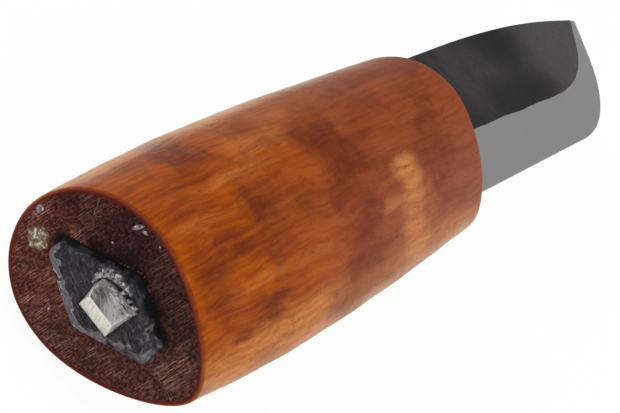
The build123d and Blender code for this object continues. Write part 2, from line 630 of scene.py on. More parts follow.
class Effects:
    """The node groups that more than one finish uses."""

    def __init__(self) -> None:
        """Builds every group once."""
        self.soft_cloud = self._soft_cloud()
        self.scratches = self._scratches()
        self.mottle = self._mottle()
        self.grain = self._grain()

    def _soft_cloud(self) -> bpy.types.NodeTree:
        """A soft-edged blot round a centre.

        Returns:
            The group: Point, Centre, Reach and Depth in, Mask out.
        """
        tree, bench, start, end = new_group(
            "soft_cloud",
            [
                ("Point", VECTOR, None), ("Centre", VECTOR, None),
                ("Reach", VECTOR, (1.0, 1.0, 1.0)), ("Depth", FLOAT, 1.0),
            ],
            [("Mask", FLOAT)],
        )
        away = bench.vector("SUBTRACT", start.outputs["Point"], start.outputs["Centre"])
        shares = bench.vector("DIVIDE", away, start.outputs["Reach"])
        blot = bench.spread(bench.length(shares), 1.25, 0.25)
        bench.feed(end.inputs["Mask"], bench.times(blot, start.outputs["Depth"]))
        return tree

    def _scratches(self) -> bpy.types.NodeTree:
        """Fine scratches along one direction.

        Returns:
            The group: Point, Along, Across, Length, Spacing and Amount in, Mask and Height out.
        """
        tree, bench, start, end = new_group(
            "fine_scratches",
            [
                ("Point", VECTOR, None), ("Along", VECTOR, (1.0, 0.0, 0.0)),
                ("Across", VECTOR, (0.0, 1.0, 0.0)), ("Length", FLOAT, 3.0),
                ("Spacing", FLOAT, 0.2), ("Amount", FLOAT, 0.5),
            ],
            [("Mask", FLOAT), ("Height", FLOAT)],
        )
        point = start.outputs["Point"]
        lane = bench.add("ShaderNodeCombineXYZ")
        for axis, way, size in (("X", "Along", "Length"), ("Y", "Across", "Spacing")):
            place = bench.dot(point, start.outputs[way])
            bench.feed(lane.inputs[axis], bench.math("DIVIDE", place, start.outputs[size]))
        lines = bench.noise(lane.outputs["Vector"], 1.0, detail=2.0, rough=0.65)
        floor = bench.math("SUBTRACT", 0.70, bench.times(start.outputs["Amount"], 0.30))
        mask = bench.spread(lines.outputs["Fac"], floor, bench.math("ADD", floor, 0.12))
        bench.feed(end.inputs["Mask"], mask)
        bench.feed(end.inputs["Height"], lines.outputs["Fac"])
        return tree

    def _mottle(self) -> bpy.types.NodeTree:
        """Uneven patches at two sizes.

        Returns:
            The group: Point, Size and Contrast in, Mask and Height out.
        """
        tree, bench, start, end = new_group(
            "mottle",
            [("Point", VECTOR, None), ("Size", FLOAT, 1.0), ("Contrast", FLOAT, 1.0)],
            [("Mask", FLOAT), ("Height", FLOAT)],
        )
        rate = bench.math("DIVIDE", 1.0, start.outputs["Size"])
        broad = bench.noise(start.outputs["Point"], rate, detail=3.0, rough=0.55, swirl=0.3)
        fine = bench.noise(start.outputs["Point"], bench.times(rate, 5.0), detail=3.0, rough=0.6)
        both = bench.math(
            "ADD", bench.times(broad.outputs["Fac"], 0.7), bench.times(fine.outputs["Fac"], 0.3)
        )
        reach = bench.math("DIVIDE", 0.22, start.outputs["Contrast"])
        mask = bench.spread(both, bench.math("SUBTRACT", 0.5, reach), bench.math("ADD", 0.5, reach))
        bench.feed(end.inputs["Mask"], mask)
        bench.feed(end.inputs["Height"], both)
        return tree

    def _grain(self) -> bpy.types.NodeTree:
        """Wood fibre that runs along X and swirls a little.

        Returns:
            The group: Point, Length, Width and Swirl in, Mask and Height out.
        """
        tree, bench, start, end = new_group(
            "wood_grain",
            [
                ("Point", VECTOR, None), ("Length", FLOAT, 10.0), ("Width", FLOAT, 0.5),
                ("Swirl", FLOAT, 1.5),
            ],
            [("Mask", FLOAT), ("Height", FLOAT)],
        )
        point = start.outputs["Point"]
        drift = bench.noise(point, 0.09, detail=2.0)
        centred = bench.vector("SUBTRACT", drift.outputs["Color"], (0.5, 0.5, 0.5))
        swirl = bench.add("ShaderNodeVectorMath", operation="SCALE")
        bench.feed(swirl.inputs[0], centred)
        bench.feed(swirl.inputs["Scale"], bench.times(start.outputs["Swirl"], 4.0))
        bent = bench.vector("ADD", point, swirl.outputs["Vector"])
        size = bench.add("ShaderNodeCombineXYZ")
        for axis, name in (("X", "Length"), ("Y", "Width"), ("Z", "Width")):
            bench.feed(size.inputs[axis], start.outputs[name])
        fibre = bench.noise(
            bench.vector("DIVIDE", bent, size.outputs["Vector"]), 1.0, detail=3.0, rough=0.6
        )
        bench.feed(end.inputs["Mask"], bench.spread(fibre.outputs["Fac"], 0.36, 0.66))
        bench.feed(end.inputs["Height"], fibre.outputs["Fac"])
        return tree


class Finish:
    """A material with one Principled BSDF, whose bump and colours its maker feeds."""

    def __init__(self, name: str, effects: Effects) -> None:
        """Starts the material.

        Args:
            name: The material's name.
            effects: The shared node groups.
        """
        self.material = bpy.data.materials.new(name)
        self.material.use_nodes = True
        tree = self.material.node_tree
        tree.nodes.clear()
        self.bench = Bench(tree)
        self.effects = effects
        self.point = self.bench.point_mm()
        self.shader = self.bench.add("ShaderNodeBsdfPrincipled")
        out = self.bench.add("ShaderNodeOutputMaterial")
        tree.links.new(self.shader.outputs[0], out.inputs["Surface"])

    def patches(self, size: float, contrast: float) -> bpy.types.Node:
        """Places uneven patches of a size in millimetres, with Mask and Height outputs."""
        return self.bench.group(self.effects.mottle, Point=self.point, Size=size, Contrast=contrast)

    def fibres(self, length: float, width: float, swirl: float) -> bpy.types.Node:
        """Places wood fibre of a length and width in millimetres, with Mask and Height.

        Args:
            length: About how long a fibre is.
            width: About how wide.
            swirl: How far the fibres wander.

        Returns:
            The node, with its Mask and Height outputs.
        """
        return self.bench.group(
            self.effects.grain, Point=self.point, Length=length, Width=width, Swirl=swirl
        )

    def strokes(self, ways: Ways, length: float, spacing: float, amount: float) -> bpy.types.Node:
        """Places fine scratches.

        Args:
            ways: The way that they run, and the way from one to the next.
            length: About how long they are, in millimetres.
            spacing: About how far apart they are.
            amount: How many show, from 0 to 1.

        Returns:
            The node, with its Mask and Height outputs.
        """
        return self.bench.group(
            self.effects.scratches,
            Point=self.point,
            Along=ways[0],
            Across=ways[1],
            Length=length,
            Spacing=spacing,
            Amount=amount,
        )

    def cloud(self, point: Socket, centre: Direction, reach: Direction, depth: float) -> Socket:
        """Gives a soft blot's mask: its middle, half its size each way and its depth.

        Args:
            point: The point to read.
            centre: The blot's middle.
            reach: Half its size each way.
            depth: Its strongest value.

        Returns:
            The mask.
        """
        node = self.bench.group(
            self.effects.soft_cloud, Point=point, Centre=tuple(centre), Reach=reach, Depth=depth
        )
        return node.outputs["Mask"]

    def set(self, **values: Feed) -> None:
        """Feeds the shader's sockets, with spaces in their names written as underscores."""
        for name, value in values.items():
            self.bench.feed(self.shader.inputs[name.replace("_", " ")], value)

    def bump(self, height: Feed, distance: float, strength: float = 1.0) -> None:
        """Feeds the shader's normal from a height.

        Args:
            height: The height, about 0 to 1.
            distance: The relief of a full step of height, in millimetres.
            strength: How much of it shows.
        """
        node = self.bench.add("ShaderNodeBump")
        node.inputs["Strength"].default_value = strength
        node.inputs["Distance"].default_value = distance * MM
        self.bench.feed(node.inputs["Height"], height)
        self.bench.feed(self.shader.inputs["Normal"], node.outputs["Normal"])


# ---- handle


@dataclass(frozen=True)
class Cloud:
    """A soft patch of darker or paler figure in the burl.

    Attributes:
        along: Place from the butt, in millimetres.
        girth: Place round the shown side: 0 at the spine, 1 at the edge side.
        long: Half its length along the handle.
        wide: Half its width round the handle.
        depth: How much of its colour it lays on.
    """

    along: float
    girth: float
    long: float
    wide: float
    depth: float

    @property
    def reach(self) -> Direction:
        """Half its size along X and round the handle."""
        return (self.long, self.wide, self.wide)


Placed = Sequence[tuple[Vector, Cloud]]


def clouds(*rows: tuple[float, ...]) -> tuple[Cloud, ...]:
    """Makes one cloud from each row."""
    return tuple(Cloud(*row) for row in rows)


@dataclass(frozen=True)
class BurlFinish:
    """Oiled burl with clouds, fibre and a satin gloss, and raw end grain at the butt."""

    amber: Colour = (0.40, 0.081, 0.001)
    rust: Colour = (0.295, 0.062, 0.011)
    umber: Colour = (0.155, 0.026, 0.008)
    honey: Colour = (0.62, 0.235, 0.052)
    # tint added as painted sheen toward the front and underneath
    painted_sheen_tint: Colour = (0.012, 0.018, 0.024)
    end_dark: Colour = (0.040, 0.0088, 0.0066)
    end_warm: Colour = (0.066, 0.0143, 0.0103)
    end_light: Colour = (0.132, 0.045, 0.037)
    # the pore colour is also laid on as painted shadow beside the washer
    end_pore_and_shadow: Colour = (0.010, 0.0030, 0.0028)
    end_scratch_and_glint: Colour = (0.215, 0.103, 0.080)
    saw_mark: Colour = (0.36, 0.18, 0.12)
    # colour of the painted shadow line beside the washer
    painted_shadow_line: Colour = (0.0035, 0.0026, 0.0022)
    # colour of the painted lit crumbs by the washer's corner
    crumb: Colour = (0.30, 0.13, 0.055)
    rim_red: Colour = (0.085, 0.006, 0.003)
    sanded: Ways = ((0.0, -0.21, 0.98), (0.0, 0.98, 0.21))
    sawn: Ways = ((0.0, -0.16, 0.987), (0.0, 0.987, 0.16))
    thin: float = 1.3
    strong: float = 0.5
    washer_edge: tuple[Flat, ...] = ((8.80, 0.50), (-0.20, 4.70), (-7.40, 1.45))
    # painted shadows beside the washer: height and thickness from the axis, half size along each, and
    # depth
    shadows: tuple[tuple[float, float, float, float, float], ...] = (
        (1.4, 4.6, 4.2, 1.5, 0.85), (-3.6, 3.6, 3.2, 1.5, 0.92), (-6.2, 2.0, 2.4, 1.2, 0.85),
        (5.6, 3.0, 3.4, 1.2, 0.80), (9.2, 0.4, 0.8, 1.8, 0.60),
    )

    def make(self, effects: Effects, places: Places, dark: Placed, pale: Placed) -> bpy.types.Material:
        """Builds the material.

        Args:
            effects: The shared node groups.
            places: The knife's stations.
            dark: Dark clouds with their centres.
            pale: Pale clouds with their centres.

        Returns:
            The material.
        """
        finish = Finish("burl_wood", effects)
        bench = finish.bench
        side, side_height = self._side(finish, places, dark, pale)
        end, end_height = self._end(finish, places)
        is_end = bench.mark("end_grain")
        patch = finish.patches(6.0, 0.8).outputs["Mask"]
        gloss = bench.spread(patch, 0.0, 1.0, 0.22, 0.30)
        finish.set(
            Base_Color=bench.mix(is_end, side, end),
            Roughness=bench.math("ADD", gloss, bench.times(is_end, 0.40)),
            Specular_IOR_Level=0.13,
        )
        finish.bump(bench.between(is_end, side_height, end_height), 0.05)
        return finish.material

    def _side(
        self, finish: Finish, places: Places, dark: Placed, pale: Placed
    ) -> tuple[Socket, Socket]:
        """Figure of the carved sides, with painted sheen and painted light.

        Args:
            finish: The material in the making.
            places: The knife's stations.
            dark: Dark clouds with their centres.
            pale: Pale clouds with their centres.

        Returns:
            The colour and the height.
        """
        bench = finish.bench
        parts = bench.parts(finish.point)
        frayed = self._frayed(bench, finish.point, 7.0, 2.6)
        streaky = self._frayed(bench, finish.point, 1.6, 1.0)
        # amber at the butt, redder toward the blade
        front_share = bench.spread(parts["X"], places.butt_x + 25, places.front_x - 25)
        colour = bench.mix(front_share, self.amber, self.rust)
        broad = bench.noise(frayed, 0.085, detail=3.0, rough=0.6, swirl=0.6).outputs["Fac"]
        colour = bench.over(colour, self.rust, bench.spread(broad, 0.42, 0.64), 0.45)
        # clouds on the far side come from noise, those on the shown side from the list
        far_side = bench.spread(parts["Z"], places.axis_z + 2.0, places.axis_z - 4.0)
        far = bench.noise(frayed, 0.065, detail=3.0, rough=0.55, swirl=1.0).outputs["Fac"]
        shade = bench.times(bench.times(bench.spread(far, 0.48, 0.66), far_side), 0.9)
        for centre, cloud in dark:
            pushed = streaky if cloud.wide < self.thin else frayed
            blot = finish.cloud(pushed, centre, cloud.reach, cloud.depth)
            both = bench.math("ADD", shade, blot)
            shade = bench.math("SUBTRACT", both, bench.times(shade, blot))
        light = bench.times(bench.spread(far, 0.42, 0.30), far_side)
        for centre, cloud in pale:
            crisp = cloud.wide < self.thin or cloud.depth > self.strong
            pushed = streaky if crisp else frayed
            blot = finish.cloud(pushed, centre, cloud.reach, cloud.depth)
            light = bench.math("MAXIMUM", light, blot)
        colour = bench.mix(light, colour, self.honey)
        # painted light: paler honey along the spine, where the sheen falls, and along the edge side,
        # lit from below
        spine = bench.spread(parts["Y"], 11.8, 13.6, 0.0, 0.9)
        lit_edge_side = bench.spread(parts["Y"], -10.5, -13.0, 0.0, 0.55)
        colour = bench.mix(bench.math("MAXIMUM", spine, lit_edge_side), colour, self.honey)
        # painted sheen: a pale blue-grey reflection added toward the front and underneath
        low = bench.spread(parts["Y"], 2.0, -8.0, 0.25, 1.0)
        forward = bench.spread(parts["X"], places.butt_x + 20, places.butt_x + 70)
        sheen_added = bench.mix(1.0, colour, self.painted_sheen_tint, "ADD")
        colour = bench.over(colour, sheen_added, forward, low)
        fine = bench.noise(frayed, 0.5, detail=4.0, rough=0.65).outputs["Fac"]
        broken = bench.spread(fine, 0.25, 0.6, 0.72, 1.0)
        colour = bench.over(colour, self.umber, shade, broken)
        # fibre, broad bands, fine pale threads, then darker hairlines
        fibre = finish.fibres(14.0, 0.55, 0.5)
        near_butt = bench.spread(parts["X"], places.butt_x + 60, places.butt_x + 15, 0.35, 0.75)
        band = finish.fibres(22.0, 1.5, 0.8)
        thread = finish.fibres(7.0, 0.22, 0.4)
        for layer, share, by in (
            (fibre, near_butt, (0.62, 0.48, 0.40)), (band, 0.45, (0.68, 0.55, 0.50)),
            (thread, 0.30, (1.35, 1.5, 1.7)),
        ):
            colour = bench.tint(colour, by, bench.times(layer.outputs["Mask"], share))
        hair = finish.fibres(18.0, 1.1, 1.0)
        line = bench.math("ABSOLUTE", bench.math("SUBTRACT", hair.outputs["Height"], 0.5))
        hairline = bench.times(bench.spread(line, 0.012, 0.002), bench.spread(broad, 0.40, 0.56))
        colour = bench.over(colour, self.umber, hairline, 0.6)
        height = bench.math(
            "ADD",
            bench.times(fibre.outputs["Height"], 0.5),
            bench.times(thread.outputs["Height"], 0.35),
        )
        return colour, height

    def _frayed(self, bench: Bench, point: Socket, far: float, near: float) -> Socket:
        """The point, pushed about so that the figure's borders fray.

        Args:
            bench: The material's bench.
            point: The point to push.
            far: Reach of the broad push, in millimetres.
            near: Reach of the fine push.

        Returns:
            The pushed point.
        """
        broad = bench.noise(point, 0.12, detail=2.0)
        fine = bench.noise(point, 0.45, detail=3.0, rough=0.6)
        pushed = point
        for source, reach in ((broad, far), (fine, near)):
            centred = bench.vector("SUBTRACT", source.outputs["Color"], (0.5, 0.5, 0.5))
            scaled = bench.vector("MULTIPLY", centred, (1.5 * reach, reach, reach))
            pushed = bench.vector("ADD", pushed, scaled)
        return pushed

    def _end(self, finish: Finish, places: Places) -> tuple[Socket, Socket]:
        """Sanded end grain with pores, saw marks and a clear red rim, with painted glints and painted
        shade.

        Args:
            finish: The material in the making.
            places: The knife's stations.

        Returns:
            The colour and the height.
        """
        bench = finish.bench
        point = finish.point
        parts = bench.parts(point)
        patch = finish.patches(2.4, 1.1)
        colour = bench.mix(patch.outputs["Mask"], self.end_dark, self.end_warm)
        streak = finish.strokes(self.sanded, length=0.9, spacing=0.15, amount=0.78)
        colour = bench.over(colour, self.end_light, streak.outputs["Mask"], 0.42)
        deep = bench.spread(streak.outputs["Height"], 0.44, 0.34, 0.0, 0.40)
        colour = bench.mix(deep, colour, self.end_pore_and_shadow)
        marks = finish.strokes(self.sanded, length=2.2, spacing=0.11, amount=0.68)
        worn = bench.noise(point, 0.28, detail=2.0).outputs["Fac"]
        rubbed = bench.spread(worn, 0.46, 0.60, 0.04, 0.85)
        colour = bench.over(colour, self.end_scratch_and_glint, marks.outputs["Mask"], rubbed)
        pores = finish.patches(0.34, 1.5).outputs["Height"]
        colour = bench.mix(bench.spread(pores, 0.52, 0.60, 0.0, 0.55), colour, self.end_light)
        pitted = bench.spread(pores, 0.49, 0.42)
        colour = bench.over(colour, self.end_pore_and_shadow, pitted, 0.6)
        # painted glints: the highest pores take the pale scratch colour
        glint = bench.spread(pores, 0.62, 0.67, 0.0, 0.8)
        colour = bench.mix(glint, colour, self.end_scratch_and_glint)
        saw = finish.strokes(self.sawn, length=3.4, spacing=0.16, amount=0.50)
        rough = bench.spread(worn, 0.44, 0.58, 0.1, 0.8)
        colour = bench.over(colour, self.saw_mark, saw.outputs["Mask"], rough)
        # painted shade: the end grain darkened toward +Z, away from the light, and made lighter toward
        # +Y
        painted_shade_toward_z = bench.spread(parts["Z"], places.axis_z + 1.5, places.axis_z + 4.5, 0.0, 0.9)
        colour = bench.tint(colour, (0.42, 0.34, 0.36), painted_shade_toward_z)
        colour = bench.tint(colour, (1.28, 1.10, 1.05), bench.spread(parts["Y"], 2.0, 8.0))
        # painted shadow beside the washer on its +Z side: soft dark blots, then a dark line set by the
        # washer's slanting flank
        for y, z, high, wide, depth in self.shadows:
            centre = (places.butt_x, y, places.axis_z + z)
            blot = finish.cloud(point, centre, (4.0, high, wide), depth)
            colour = bench.mix(blot, colour, self.end_pore_and_shadow)
        gap = self._beside(bench, places, point)
        ragged = bench.noise(point, 1.6, detail=3.0).outputs["Fac"]
        sway = bench.spread(ragged, 0.3, 0.7, -0.18, 0.18)
        near = bench.math("ABSOLUTE", bench.math("ADD", gap, sway))
        line = bench.spread(near, 0.85, 0.48, 0.0, 0.95)
        along_washer = bench.window(parts["Y"], (-8.3, -7.0), (9.9, 9.2))
        colour = bench.over(colour, self.painted_shadow_line, line, along_washer)
        # painted light: orange lit crumbs on the outer border of the painted shadow line, by the
        # washer's corner
        border = bench.math("ABSOLUTE", bench.math("SUBTRACT", gap, 0.42))
        lit_grains = bench.spread(pores, 0.50, 0.58, 0.0, 0.50)
        by_corner = bench.window(parts["Y"], (-3.4, -1.8), (3.0, 1.6))
        crumbs = bench.times(bench.spread(border, 0.16, 0.04), lit_grains)
        colour = bench.over(colour, self.crumb, crumbs, by_corner)
        rim = bench.mark("rim")
        colour = bench.mix(rim, colour, self.rim_red)
        height = bench.math(
            "SUBTRACT", bench.times(streak.outputs["Height"], 2.5), bench.times(pitted, 1.5)
        )
        return colour, bench.times(height, bench.math("SUBTRACT", 1.0, rim))

    def _beside(self, bench: Bench, places: Places, point: Socket) -> Socket:
        """Distance in millimetres from the washer's two edges on the +Z side.

        Args:
            bench: The material's bench.
            places: The knife's stations.
            point: The point to measure from.

        Returns:
            The distance, below 0 under the washer.
        """
        gaps = []
        for (y0, z0), (y1, z1) in zip(self.washer_edge, self.washer_edge[1:]):
            length = math.hypot(y1 - y0, z1 - z0)
            side = math.copysign(1.0, y1 - y0)
            normal = (0.0, side * (z0 - z1) / length, side * (y1 - y0) / length)
            reach = normal[1] * y0 + normal[2] * (z0 + places.axis_z)
            gaps.append(bench.math("SUBTRACT", bench.dot(point, normal), reach))
        return bench.math("MAXIMUM", *gaps)


@dataclass
class BurlHandle:
    """The egg-section handle, carved by hand, with its tapering bore.

    Attributes:
        heights: Heights at even steps from the butt to the front.
        bore_butt: The bore at the butt: its middle, its height and its thickness.
        bore_front: The bore at the front.
        red_fade: Where the red ends past the rim, each a distance from the butt and its share.
        dark_clouds: Dark figure on the shown side.
        pale_clouds: Pale figure on it.
    """

    places: Places
    heights: tuple[float, float, float, float] = (28.0, 29.9, 28.9, 26.4)
    butt_thickness: float = 19.4
    front_thickness: float = 21.5
    fullness: float = 0.085
    butt_ease: float = 0.4
    front_round: float = 1.4
    carve: float = 0.09
    bore_butt: Square = (-0.2, 0.3, 5.8, 5.3)
    bore_front: Square = (1.0, 0.0, 12.8, 3.65)
    rim_width: float = 0.20
    red_fade: tuple[Flat, ...] = ((0.48, 0.42), (0.58, 0.28), (0.68, 0.12), (0.78, 0.0))
    quarter: int = 72
    stations: int = 150
    face_rings: int = 26
    ease_rings: int = 5
    round_rings: int = 8
    front_rings: int = 14
    bore_rings: int = 12
    dark_clouds: tuple[Cloud, ...] = clouds(
        (22.5, 0.27, 5.5, 2.6, 0.85), (24.0, 0.16, 4.5, 1.2, 0.80), (22.0, 0.21, 6.0, 2.0, 0.80),
        (9.0, 0.195, 9.0, 1.0, 0.30), (40.0, 0.27, 6.0, 3.0, 0.30), (39.0, 0.56, 5.0, 3.4, 0.30),
        (14.0, 0.37, 13.0, 0.45, 0.55), (9.0, 0.45, 11.0, 0.50, 0.50), (29.0, 0.47, 10.0, 0.60, 0.60),
        (27.0, 0.52, 6.5, 2.2, 0.75), (15.0, 0.57, 7.0, 0.9, 0.75), (17.0, 0.62, 6.0, 1.0, 0.70),
        (8.0, 0.62, 7.0, 2.4, 0.45), (27.0, 0.66, 8.0, 2.2, 0.50), (5.0, 0.73, 7.0, 0.6, 0.45),
        (54.0, 0.41, 7.5, 3.8, 0.90), (56.0, 0.46, 8.0, 4.6, 0.45), (43.0, 0.60, 9.0, 4.5, 0.22),
        (60.0, 0.31, 7.0, 2.4, 0.40), (59.5, 0.37, 4.0, 2.4, 0.70), (58.0, 0.52, 6.5, 3.6, 0.85),
        (52.0, 0.60, 7.5, 2.6, 0.70), (60.0, 0.68, 5.5, 2.6, 0.75), (55.0, 0.75, 8.0, 3.0, 0.65),
        (50.0, 0.85, 9.0, 3.0, 0.65), (60.0, 0.86, 7.0, 2.8, 0.55), (46.0, 0.93, 7.0, 2.2, 0.40),
        (74.0, 0.29, 8.0, 2.0, 0.60), (75.0, 0.40, 6.0, 2.4, 0.55), (88.0, 0.285, 14.0, 1.2, 0.60),
        (66.5, 0.47, 5.0, 0.9, 0.60), (91.0, 0.465, 5.0, 1.6, 0.85), (88.0, 0.53, 7.0, 1.8, 0.55),
        (88.0, 0.65, 9.0, 3.2, 0.60), (84.0, 0.77, 7.0, 2.4, 0.45), (100.0, 0.32, 5.0, 3.0, 0.45),
        (8.0, 0.71, 8.0, 3.4, 0.42), (12.0, 0.64, 7.0, 2.4, 0.30), (26.0, 0.55, 13.0, 3.6, 0.36),
        (19.0, 0.34, 6.0, 2.8, 0.45), (27.0, 0.28, 7.0, 3.0, 0.25), (57.0, 0.56, 13.0, 3.6, 0.34),
        (54.0, 0.65, 6.0, 3.0, 0.42), (54.0, 0.87, 7.0, 3.0, 0.28), (92.0, 0.35, 9.0, 3.2, 0.34),
        (26.0, 0.15, 7.0, 2.4, 0.45), (6.0, 0.77, 6.0, 2.2, 0.28), (15.0, 0.64, 8.0, 2.4, 0.22),
        (67.0, 0.55, 7.0, 2.6, 0.34), (84.0, 0.55, 8.0, 2.4, 0.24), (56.0, 0.95, 14.0, 2.4, 0.50),
        (70.0, 0.96, 7.0, 1.6, 0.30), (65.0, 0.45, 8.0, 3.2, 0.28), (22.0, 0.80, 6.5, 1.1, 0.85),
        (21.0, 0.84, 4.5, 0.8, 0.75), (11.5, 0.86, 4.0, 0.9, 0.70),
    )
    pale_clouds: tuple[Cloud, ...] = clouds(
        (74.5, 0.63, 5.2, 2.0, 0.85), (75.5, 0.68, 4.4, 2.0, 0.85), (74.0, 0.75, 6.0, 2.6, 0.72),
        (73.0, 0.83, 6.5, 2.6, 0.68), (74.0, 0.91, 6.5, 2.4, 0.66), (67.0, 0.72, 5.0, 1.2, 0.40),
        (80.5, 0.77, 5.0, 2.4, 0.40), (47.0, 0.35, 6.0, 2.2, 0.26), (26.0, 0.41, 16.0, 1.0, 0.34),
        (12.0, 0.50, 12.0, 0.9, 0.24), (38.0, 0.33, 9.0, 2.2, 0.26), (50.0, 0.26, 7.0, 1.6, 0.22),
        (16.0, 0.92, 15.0, 2.2, 0.45), (33.0, 0.91, 10.0, 2.2, 0.42), (20.0, 0.73, 12.0, 0.9, 0.24),
        (36.0, 0.74, 10.0, 0.9, 0.24),
    )

    def height_at(self, share: float) -> float:
        """Height at a share of the length: the cubic through the four heights.

        Args:
            share: Place along the handle, 0 at the butt.

        Returns:
            The height.
        """
        places = (0, 1 / 3, 2 / 3, 1)
        total = 0.0
        for size, place in zip(self.heights, places):
            weight = 1.0
            for other in places:
                if other != place:
                    weight *= (share - other) / (place - other)
            total += size * weight
        return total

    def half_outline(self, share: float, count: int) -> np.ndarray:
        """The section's outline on the shown side, from the spine to the edge side.

        Args:
            share: Place along the handle.
            count: How many points to give.

        Returns:
            Rows of height and thickness from the axis.
        """
        height = self.height_at(share)
        half = (self.butt_thickness + (self.front_thickness - self.butt_thickness) * share) / 2
        full = self.fullness
        spine_arm = (0.53 - 0.6 * full) * half
        upper_arm = (0.53 + 1.4 * full) * (0.5 - full) * height
        lower_arm = (0.53 - 1.3 * full) * (0.5 + full) * height
        edge_arm = (0.53 - 1.65 * full) * half
        wide_y = full * height
        upper = bezier(
            [(height / 2, 0), (height / 2, spine_arm), (wide_y + upper_arm, half), (wide_y, half)],
            160,
        )
        lower = bezier(
            [(wide_y, half), (wide_y - lower_arm, half), (-height / 2, edge_arm), (-height / 2, 0)],
            160,
        )
        return evenly(np.concatenate([upper, lower[1:]]), count)

    def outline(self, share: float) -> np.ndarray:
        """The whole outline, evenly spaced, spine first and round by the shown side.

        Args:
            share: Place along the handle.

        Returns:
            Rows of height and thickness.
        """
        half = self.half_outline(share, 2 * self.quarter + 1)
        back = half[1:-1][::-1] * np.array([1.0, -1.0])
        return np.concatenate([half, back])

    def surface_point(self, along: float, girth: float) -> Vector:
        """A place on the shown side.

        Args:
            along: Distance from the butt.
            girth: Share of the way from the spine to the edge side.

        Returns:
            The place in the row frame, in millimetres.
        """
        length = self.places.front_x - self.places.butt_x
        rows = self.half_outline(along / length, 201)
        row = rows[int(round(girth * 200))]
        return Vector((self.places.butt_x + along, row[0], self.places.axis_z + row[1]))

    def _inset(self, outline: np.ndarray, depth: float) -> np.ndarray:
        """Moves an outline inward along its own normals.

        Args:
            outline: The outline.
            depth: How far inward.

        Returns:
            The smaller outline.
        """
        ahead = np.roll(outline, -1, axis=0) - np.roll(outline, 1, axis=0)
        ahead /= np.linalg.norm(ahead, axis=1, keepdims=True)
        normal = np.stack([-ahead[:, 1], ahead[:, 0]], axis=1)
        if np.dot(normal[0], [1.0, 0.0]) < 0:
            normal = -normal
        return outline - normal * depth

    def _ring(
        self, mesh: RingMesh, x: float, outline: np.ndarray, end: float = 0.0, rim: float = 0.0
    ) -> None:
        """Adds one ring with its carved waves and its marks.

        Args:
            mesh: The handle's mesh.
            x: The ring's station.
            outline: Its outline from the axis.
            end: How much is end grain.
            rim: How red its rim is.
        """
        rows = []
        for y, z in outline:
            swell = self.carve * waver(x * 0.7, y, z, 7.5, 3.1)
            swell += 0.35 * self.carve * waver(x, y, z, 2.4, 9.7)
            span = math.hypot(y, z)
            push = swell * min(1.0, span / 8.0) / span
            rows.append((x, y + push * y, self.places.axis_z + z + push * z))
        count = len(rows)
        mesh.ring(rows, end_grain=[end] * count, rim=[rim] * count)

    def build(self, effects: Effects) -> bpy.types.Object:
        """Makes the handle.

        Args:
            effects: The shared node groups.

        Returns:
            The dressed handle.
        """
        places = self.places
        length = places.front_x - places.butt_x
        mesh = RingMesh("handle_burl")
        butt = self.outline(0.0)
        rim = self._inset(butt, self.butt_ease)
        bore = square_hole(self.bore_butt, rim)
        for step in range(1, self.face_rings + 1):
            share = step / self.face_rings
            gap = np.linalg.norm(rim - bore, axis=1).mean() * (1 - share)
            red = smooth(1 - gap / self.rim_width)
            self._ring(mesh, places.butt_x, bore + (rim - bore) * share, 1.0, red)
        for step in range(1, self.ease_rings + 1):
            turn = math.pi / 2 * step / self.ease_rings
            inset = self.butt_ease * (1 - math.sin(turn))
            x = places.butt_x + self.butt_ease * (1 - math.cos(turn))
            self._ring(mesh, x, self._inset(butt, inset), 1.0 - 0.12 * step, 1.0)
        for x, red in self.red_fade:
            self._ring(mesh, places.butt_x + x, self.outline(x / length), red, 1.0)
        side_start = self.red_fade[-1][0] + 0.02
        for step in range(1, self.stations):
            share = step / self.stations
            x = side_start + (length - side_start - self.front_round) * share
            self._ring(mesh, places.butt_x + x, self.outline(x / length), 0.0, 1.0)
        for step in range(self.round_rings + 1):
            turn = math.pi / 2 * step / self.round_rings
            x = length - self.front_round * (1 - math.sin(turn))
            inset = self.front_round * (1 - math.cos(turn))
            self._ring(mesh, places.butt_x + x, self._inset(self.outline(x / length), inset))
        front = self._inset(self.outline(1.0), self.front_round)
        hole = square_hole(self.bore_front, front)
        for step in range(1, self.front_rings + 1):
            face = front + (hole - front) * step / self.front_rings
            self._ring(mesh, places.front_x, face)
        for step in range(1, self.bore_rings):
            share = 1 - step / self.bore_rings
            self._ring(mesh, places.butt_x + length * share, bore + (hole - bore) * share)
        self._ring(mesh, places.butt_x, bore, 1.0)
        mesh.close()
        piece = mesh.build()
        dark = [(self.surface_point(c.along, c.girth), c) for c in self.dark_clouds]
        pale = [(self.surface_point(c.along, c.girth), c) for c in self.pale_clouds]
        dress(piece, BurlFinish().make(effects, places, dark, pale))
        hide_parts(Node.HANDLE.value)
        return piece


# ---- blade


